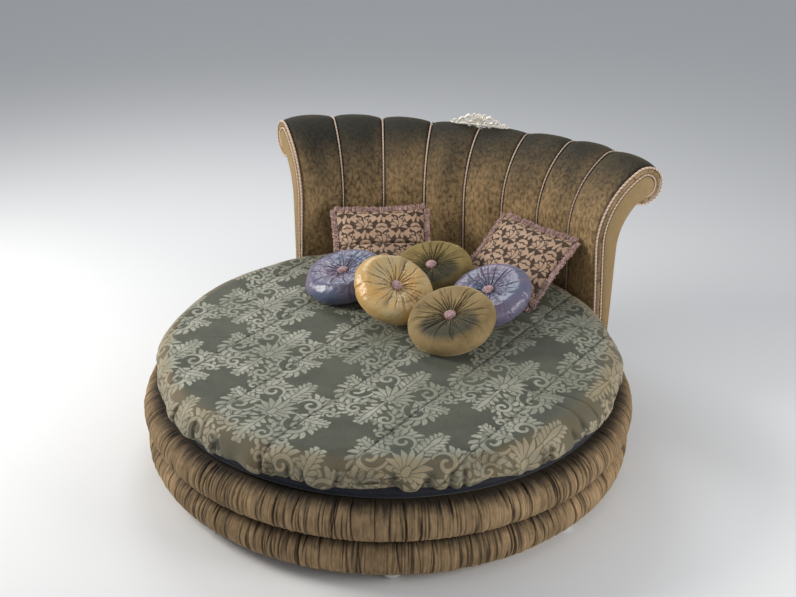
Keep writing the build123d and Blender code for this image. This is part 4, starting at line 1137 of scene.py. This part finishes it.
def cushion_profile(count):
    """Radius and height of a round cushion from its front button to its back button."""
    rim = np.radians(np.linspace(88, 0, 26))
    front = FACE + [(CUSHION - HALF + HALF * math.cos(a), HALF * math.sin(a)) for a in rim]
    whole = np.concatenate([front, np.array(front)[-2::-1] * [1, -1]])
    return along_path(whole, np.linspace(0, 1, count))[0]


def pleats(seed, columns, r, z, number):
    """How deep in a pleat each point lies, and the stitched points of one cushion."""
    chance = np.random.default_rng(seed)
    turn = full_turn(columns)[:, None]
    sunk, stitched = np.zeros((columns, len(r))), np.zeros((columns, len(r)))
    for face in SIDES:
        on_face = (z * face > -0.004)[None]
        for k in range(number):
            start = 2 * np.pi * (k + chance.uniform(-0.32, 0.32)) / number
            reach = chance.uniform(0.80, 1.1) if k % 2 else chance.uniform(0.50, 0.88)
            bend, strong = chance.uniform(-0.16, 0.16), chance.uniform(0.5, 1.0)
            centre = start + bend * (r / CUSHION) ** 2 + 0.03 * np.sin(9 * r / CUSHION + start)
            off = ((turn - centre + np.pi) % (2 * np.pi) - np.pi) * r
            fade = 1 - smooth(r, reach * 0.62 * CUSHION, reach * CUSHION)
            line = bell(off, 0.0015 + 0.010 * r) * fade * strong
            sunk = np.maximum(sunk, line * on_face)
            pinned = (np.abs(off) < 0.0020) * (r < reach * 0.72 * CUSHION) * on_face
            stitched = np.maximum(stitched, LOOSE_PIN * pinned)
    stitched[:, np.abs(r) < 0.030] = 1.0
    return sunk, stitched


def sew_cushion(name, seed, finish, number, depth, pressure, spare):
    columns, rows = 264, 84
    r, z = cushion_profile(rows)
    sunk, stitched = pleats(seed, columns, r, z, number)
    turn = full_turn(columns)[:, None]
    rise, run = (np.gradient(k) / np.hypot(np.gradient(r), np.gradient(z)) for k in (z, r))
    gathers = crumple(seed + 6, (columns, rows), (1.5, 11), True)
    gathers = gathers * smooth(r, 0.02, 0.05) * (1 - smooth(r, 0.16, 0.212))
    waves = crumple(seed + 5, (columns, rows), (9, 7), True) * smooth(r, 0.04, 0.12)
    out = -depth * sunk + 0.0022 * waves + 0.0017 * gathers
    across = r - rise * out
    grid = np.stack([across * np.cos(turn), across * np.sin(turn), z + run * out + 0 * turn], -1)
    piece = sew(name, grid, finish, True)
    stuff(piece, stitched.ravel(), pressure, spare, 0.009)
    # painted shade: darker in the pleats and gathers, and in a hollow round the front button that
    # reaches further on one side
    note(piece, "painted_crease_shade", np.clip(1.25 * sunk + 0.45 * smooth(-gathers, 0.2, 1.1), 0, 1))
    painted_shade_side = smooth(-np.sin(turn - 0.6), -0.35, 0.75) * smooth(r, 0.02, 0.06)
    hollow = 1 - smooth(r, 0.05 + 0.10 * painted_shade_side, 0.10 + 0.105 * painted_shade_side)
    note(piece, "painted_shade", 0.9 * hollow * (0.35 + 0.65 * painted_shade_side) * (z > 0))
    render_finer(piece)
    return piece


# %% Beaded buttons
BEADS, BEAD, BEAD_U, BEAD_V = 90, 0.0031, 8, 6
BUTTON, BUTTON_AT, GOLDEN_TURN = 0.0285, 0.0345, 2.39996
beads = two_tone("beaded_button", dye(170, 126, 128), dye(222, 190, 188), (0.008, 3.0),
                 (0.002, 4.0), (0.0004, 0.5), roughness=0.35, specular_ior_level=0.6,
                 sheen_weight=0.3)
print("beads on a button:", 2 * BEADS)


def sew_button(name, seed):
    """Two domes, each covered with a spiral of small beads over a cloth-covered mould."""
    chance = np.random.default_rng(seed)
    u, v = full_turn(BEAD_U)[:, None], np.linspace(0.08, np.pi - 0.08, BEAD_V)[None]
    ball = np.stack([np.sin(v) * np.cos(u), np.sin(v) * np.sin(u), np.cos(v) + 0 * u], -1)
    mould = ball * 0.030 + [0, 0, BUTTON_AT - 0.014]
    balls = []
    for face in SIDES:
        balls.append((mould * [1, 1, face])[:, ::face])
        for k in range(BEADS):
            share = math.sqrt((k + 0.5) / BEADS)
            out, turn = BUTTON * share, k * GOLDEN_TURN
            lift = BUTTON_AT + 0.0165 * math.sqrt(max(0.0, 1 - (0.96 * share) ** 2))
            place = [out * math.cos(turn), out * math.sin(turn), lift]
            bead = ball * (BEAD * chance.uniform(0.85, 1.15)) + place
            balls.append((bead * [1, 1, face])[:, ::face])
    return sew_many(name, balls, beads, True, False)


# %% Place the cushions
MATTRESS, SPREAD_BED = 1.124, 0.5842
# finish, material slot, pleats on a face, their depth, and the pressure and spare cloth of the stuffing
BLUE = (blue_satin, "blue_satin", 22, 0.0075, 4.0, 0.05)
GOLD = (gold_satin, "gold_satin", 24, 0.0070, 4.0, 0.05)
OLIVE = ("olive_velvet", 34, 0.0085, 3.5, 0.03)
# place as shares of the mattress radius, then lean and facing in degrees
CUSHIONS = {
    "blue_cushion_left": (-0.350, 0.314, 15.2, -42.7, *BLUE),
    "gold_cushion": (-0.052, 0.191, 31.4, 61.5, *GOLD),
    "olive_cushion_back": (0.008, 0.533, 16.3, -11.1, olive_back_velvet, *OLIVE),
    "blue_cushion_right": (0.354, 0.344, 21.3, -33.8, *BLUE),
    "olive_cushion_front": (0.274, 0.041, 21.3, -18.8, olive_front_velvet, *OLIVE),
}


def place_cushion(piece, x_share, y_share, lean, facing):
    """Moves a piece from its own flat frame to its place on the bed, leaning and turned."""
    tilt, side = math.radians(lean), math.radians(facing)
    level = math.sin(tilt)
    out = Vector((level * math.sin(side), -level * math.cos(side), math.cos(tilt)))
    across = Vector((0, 0, 1)).cross(out).normalized()
    matrix = Matrix((across, out.cross(across), out)).transposed().to_4x4()
    middle = SPREAD_BED + (CUSHION - HALF) * level + HALF
    matrix.translation = (x_share * MATTRESS, y_share * MATTRESS, middle)
    piece.data.transform(matrix)
    piece.data.update()


for seed, (name, (*place, finish, slot, number, depth, pressure, spare)) in enumerate(CUSHIONS.items()):
    cover = sew_cushion(name + "_cover", 200 + 10 * seed, finish, number, depth, pressure, spare)
    button = sew_button(name + "_beads", 300 + seed)
    for piece, node, its_slot in ((cover, name, slot), (button, name + "_buttons", "mauve_buttons")):
        place_cushion(piece, *place)
        settle(piece, name + "_body", its_slot, node)
    print(name, "leans", place[2], "degrees")

# %% [markdown]
# ## The damask pillows
# Two square pillows in bold brown damask lean on the headboard, each edged with a looped fringe. They
# are stuffed flat by the same simulation, then laid back over the bend where they lean, and the fringe
# is laid with them.

# %% Pillow pattern and finish
def pillow_sprig():
    right = leafy_scroll((0.050, 0.050), 0.024, 0.0065, 250, -420, 4, 0.022, 0.0090, 0.0060)
    right += leafy_scroll((0.046, -0.050), 0.021, 0.0060, 60, 400, 3, 0.020, 0.0088, 0.0058)
    right += [petal((0.070, 0.002), 62, 0.034, 0.0105), petal((0.084, 0.030), 10, 0.026, 0.0090),
              petal((0.066, -0.010), 118, 0.034, 0.0100)]
    centre = fan((0, -0.004), (0, 33, -33, 66, -66, 100, -100), 0.060, 0.0106, 0.20)
    centre += fan((0, -0.022), (180, 145, -145), 0.060, 0.0096, -0.20)
    centre += [petal((0, 0.068), 0, 0.034, 0.0110)]
    return [both_sides(element) for element in right] + centre


sprig = distance_map(pillow_sprig(), 0.13, 0.14, 0.001, 0.0046)
brown_damask = damask(
    "brown_damask", (60, 44, 34), (78, 59, 46), (200, 167, 140), (172, 141, 115),
    (60, 44, 34), (200, 167, 140), (214, 184, 160), 0.0006)
print("sprig leaf share", round(float((sprig[0] < 0).mean()), 2))

# %% Sew a pillow flat
PILLOW_WIDTH, PILLOW_HEIGHT, FOLD, DRAWN_IN = 0.510, 0.430, 0.45 * 0.430, 0.055


def sew_pillow(name, finish, folded):
    """Two squares joined at their edges, a little thick in the middle, ready to be stuffed."""
    nu, nv = 120, 100
    p, q = np.linspace(-1, 1, nu)[:, None], np.linspace(-1, 1, nv)[None]
    full = np.clip((1 - p**2) * (1 - q**2), 0, 1)
    x = p * PILLOW_WIDTH / 2 * (1 - DRAWN_IN * (1 - q**2))
    y = (q * (1 - DRAWN_IN * (1 - p**2)) + 1) * PILLOW_HEIGHT / 2
    lift = 0.003 + 0.040 * full**0.42
    sheets = [np.stack([x, y, side * lift], -1).reshape(-1, 3) for side in (1, -1)]
    index = np.arange(nu * nv).reshape(nu, nv)
    rim = np.concatenate([index[:-1, 0], index[-1, :-1], index[:0:-1, -1], index[0, :0:-1]])
    under, after = rim + nu * nv, np.roll(rim, -1)
    faces = grid_faces(nu, nv)
    faces = [faces, faces[:, ::-1] + nu * nv, np.stack([rim, under, after + nu * nv, after], -1)]
    piece = make_piece(name, np.concatenate(sheets), np.concatenate(faces), finish)
    across_cloth, up_cloth = np.broadcast_arrays(p * PILLOW_WIDTH / 2, (q + 1) * PILLOW_HEIGHT / 2)
    edge = np.exp(-(1 - np.maximum(np.abs(p), np.abs(q))) / 0.02)
    fold_line = folded * bell(up_cloth - FOLD - 0.006 * np.sin(9 * across_cloth), 0.0045)
    leaf = half_drop(sprig, across_cloth, up_cloth + 0.02, 0.200, 0.215)
    # painted shade: darker along the pillow's rim and in its fold
    wear_and_painted_shade = np.clip(0.6 * edge + fold_line, 0, 1)
    for label, values in (("leaf", leaf), ("painted_side_light", 0 * leaf), ("painted_crease_shade", wear_and_painted_shade)):
        note(piece, label, np.tile(values.ravel(), 2))
    return piece, np.isin(np.arange(2 * nu * nv), np.concatenate([rim, under])) * LOOSE_PIN


# %% Lay a pillow back
# place as shares of the mattress radius, facing, rise below and above the fold, depth of the fold
PILLOWS = {
    "damask_pillow_left": (-0.234, 0.538, -26.8, 27.9, 39.5, 0.012),
    "damask_pillow_right": (0.308, 0.553, 27.1, 39.0, 39.0, 0.0),
}
UP = np.array([0, 0, 1])
# radius of the fringe that the lower edge lies on, and how far behind its line the cloth begins
FRINGE, BEHIND_FRINGE = 0.014, 0.0144


def lay_back(flat, x_share, y_share, facing, low_rise, high_rise, fold_depth):
    """Points of a flat pillow, moved to where it leans. Its lower edge lies on the bed."""
    turn, low = math.radians(facing), math.radians(low_rise)
    out = np.array([math.sin(turn), math.cos(turn), 0])
    edge = np.array([math.cos(turn), -math.sin(turn), 0])
    y = np.linspace(-0.06, PILLOW_HEIGHT + 0.06, 400)
    past_fold = smooth(y, FOLD - 0.025, FOLD + 0.025)
    rise = np.radians(low_rise + (high_rise - low_rise) * past_fold)
    ahead, above = (np.cumsum(way) * (y[1] - y[0]) for way in (np.cos(rise), np.sin(rise)))
    ahead, above = ahead - np.interp(0, y, ahead), above - np.interp(0, y, above)
    foot = np.array([x_share * MATTRESS, y_share * MATTRESS, SPREAD_BED + FRINGE])
    foot = foot + (out * math.cos(low) + UP * math.sin(low)) * BEHIND_FRINGE
    lean, ahead, above = (np.interp(flat[:, 1], y, k)[:, None] for k in (rise, ahead, above))
    normal = -out * np.sin(lean) + UP * np.cos(lean)
    proud = flat[:, 2] - fold_depth * bell(flat[:, 1] - FOLD, 0.010) * (flat[:, 2] > 0)
    return foot + out * ahead + UP * above + edge * flat[:, :1] + normal * proud[:, None]


# %% Looped fringe
LOOP_STEP, THREAD = 0.0042, 0.0019
fringe_thread = two_tone("looped_fringe", dye(158, 124, 118), dye(214, 182, 172), (0.012, 4.0),
                         (0.0015, 4.0), (0.0004, 0.6), roughness=0.7, sheen_weight=0.4,
                         sheen_tint=dye(236, 214, 210), specular_ior_level=0.3)
print("fringe thread", round(2000 * THREAD, 1), "mm thick")


def fringe_loops(seed):
    """Small thread loops that stand out at odd angles all round a flat pillow."""
    chance = np.random.default_rng(seed)
    half, tall = PILLOW_WIDTH / 2, PILLOW_HEIGHT / 2
    corners = np.array([(-half, -tall), (half, -tall), (half, tall), (-half, tall), (-half, -tall)])
    around, thread = full_turn(12), full_turn(5)
    loops = []
    for start, end in zip(corners[:-1], corners[1:]):
        long = np.hypot(*(end - start))
        along = (end - start) / long
        away = np.array([along[1], -along[0]])
        for place in np.arange(0, long, LOOP_STEP):
            share = place / long
            bowed = away * DRAWN_IN * 4 * share * (1 - share) * tall
            middle = start + [0, tall] + along * place - bowed
            tilt, size = chance.uniform(-0.9, 0.9), chance.uniform(0.8, 1.15)
            reach, wide = 0.0145 * size, 0.0058 * size
            lift = chance.uniform(-0.009, 0.009)
            centre = np.array([*(middle + away * (0.006 + reach * 0.55)), lift])
            first = np.array([*(away * math.cos(tilt * 0.5)), math.sin(tilt * 0.5) * 0.7])
            second = np.array([*along, 0]) * math.cos(tilt) + UP * math.sin(tilt)
            core = centre + round_line(around, reach * first, wide * second)
            outward = round_line(around, first, second)[:, None]
            ring = THREAD * round_line(thread[None], outward, np.cross(first, second))
            loops.append(core[:, None] + ring)
    return np.array(loops)


# %% Place the pillows
for seed, (name, place) in enumerate(PILLOWS.items()):
    pillow, stitched = sew_pillow(name + "_cover", brown_damask, 0.9 if place[-1] else 0.0)
    stuff(pillow, stitched, 5.0, 0.03, 0.012)
    write_points(pillow, lay_back(read_points(pillow.data).astype(float), *place))
    render_finer(pillow)
    settle(pillow, name + "_body", "brown_damask", name)
    loops = fringe_loops(400 + seed)
    laid = lay_back(loops.reshape(-1, 3), *place).reshape(loops.shape)
    node = name.replace("pillow", "fringe")
    fringe = sew_many(node + "_loops", laid, fringe_thread, True, True)
    settle(fringe, name + "_body", "mauve_fringe", node)
    print(name, "has", len(loops), "fringe loops")

# %% [markdown]
# ## The carcass
# Under the velvet the bed is joinery: plywood rings, a deck in two halves, softwood posts and beams,
# and zinc-plated fixings. These shapes are right as they come from the CAD model, so they only get
# their finishes. The grain is noise stretched along the length of the board.

# %% Wood and metal
def wood(name, pale, dark, along):
    finish, tree, shader = new_finish(name, roughness=0.6, specular_ior_level=0.35)
    grain = mottle(tree, place_on(tree, along), 0.05, 6.0)
    pores = mottle(tree, place_on(tree, tuple(8 * k for k in along)), 0.05, 3.0)
    share = times(tree, grain, times(tree, pores, 0.5, "ADD"))
    wire(tree, shader, "Base Color", mix(tree, share, pale, dark))
    raise_up(tree, shader, pores, 0.0003, 0.5)
    return finish


def zinc(name):
    finish, tree, shader = new_finish(name, metallic=1.0)
    spangle = mottle(tree, place_on(tree), 0.002, 2.0)
    wire(tree, shader, "Base Color", mix(tree, spangle, dye(150, 152, 156), dye(196, 198, 200)))
    wire(tree, shader, "Roughness", spread_out(tree, spangle, 0.28, 0.5))
    return finish


def felt(name, first, second):
    return two_tone(name, first, second, (0.004, 5.0), (0.004 / 3, 4.0), (0.0004, 0.7),
                    roughness=0.9, specular_ior_level=0.2)


carcass = {
    wood("birch_ply", dye(208, 178, 134), dye(182, 148, 104), (0.9, 11, 11)): [
        "base_ring_lower", "base_ring_upper", "drum_wall", "deck_half_left", "deck_half_right",
        "headboard_ribs", "headboard_front_board", "headboard_plinth"],
    wood("planed_softwood", dye(222, 194, 148), dye(184, 148, 98), (9, 9, 1)): [
        "frame_posts", "beam_long", "beam_cross", "centre_leg"],
    zinc("zinc_plate"): ["deck_screws", "foot_studs", "headboard_bolts", "crest_pins"],
    felt("felted_wadding", dye(214, 212, 202), dye(236, 234, 226)): ["scroll_packers"],
    silver_leaf("foot_silver_leaf", dye(206, 204, 198), dye(124, 118, 108), 0.3): [
        f"bun_foot_{k}" for k in range(1, 9)],
}
for finish, members in carcass.items():
    for member in members:
        nodes[member].data.materials.clear()
        nodes[member].data.materials.append(finish)
    print(finish.name, "on", len(members), "nodes")

# %% [markdown]
# ## The dust cover
# A black non-woven cloth is stapled under the base to keep dust out of the frame and its joints. It is
# pulled tight, with small ripples between its staples. It has a hole where the centre leg comes through.

# %% Dust cover
LEG_HOLE = 0.052
low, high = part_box("dust_cover")
reach = (high.x - low.x) / 2
turn, share = full_turn(360)[:, None], np.linspace(LEG_HOLE / reach, 1, 60)[None]
ripple = 0.0008 * np.cos(90 * turn) * smooth(share, 0.9, 1.0)
ripple += 0.0006 * crumple(77, (360, 60), (20, 8), True) * smooth(1 - share, 0, 0.1)
z = (low.z + high.z) / 2 + np.clip(ripple, -0.0009, 0.002)
black = felt("black_lining", dye(22, 22, 24), dye(40, 40, 42))
dust = sew("dust_cover_cloth", from_middle(turn, reach * share, z), black, True)
settle(dust, "base", "black_lining", "dust_cover")
print("dust cover radius", round(reach, 3))

# %% [markdown]
# ## Floor and light
# A plain pale floor, and the soft light of a studio: one large softbox high on the left, a weaker one
# on the right, and one behind that draws the silver out of the damask. The light is kept at a level at
# which a colour renders about as it was mixed.

# %% Studio
white, _, shader = new_finish("floor_white", roughness=0.9, specular_ior_level=0.2)
shader.inputs["Base Color"].default_value = (0.80, 0.80, 0.80, 1)
turn = full_turn(96)[:, None]
plate = np.array([[0.01, 8.0, 120.0]])
grid = np.stack([plate * np.cos(turn), plate * np.sin(turn), 0 * plate * turn], -1)
floor = sew("floor", grid, white, True)

world = bpy.data.worlds.new("studio")
bpy.context.scene.world = world
world.use_nodes = True
sky = world.node_tree.nodes["Background"]
sky.inputs["Color"].default_value = (0.86, 0.90, 0.96, 1)
sky.inputs["Strength"].default_value = 0.42


def softbox(name, place, target, size, power, colour):
    lamp = bpy.data.objects.new(name, bpy.data.lights.new(name, "AREA"))
    light = lamp.data
    light.shape, light.size, light.energy, light.color = "DISK", size, power, colour
    lamp.location = place
    lamp.rotation_euler = (Vector(target) - Vector(place)).to_track_quat("-Z", "Y").to_euler()
    bpy.context.scene.collection.objects.link(lamp)


softbox("key", (-4.5, -1.3, 3.3), (0, 0.2, 0.5), 2.2, 215, (1.0, 0.97, 0.92))
softbox("fill", (4.8, -0.6, 2.0), (0, 0, 0.4), 2.4, 115, (1.0, 0.98, 0.95))
softbox("silver", (-2.2, 3.0, 4.4), (0, -0.2, 0.5), 2.2, 70, (0.92, 0.96, 1.0))
bpy.context.scene.view_settings.view_transform = "Standard"
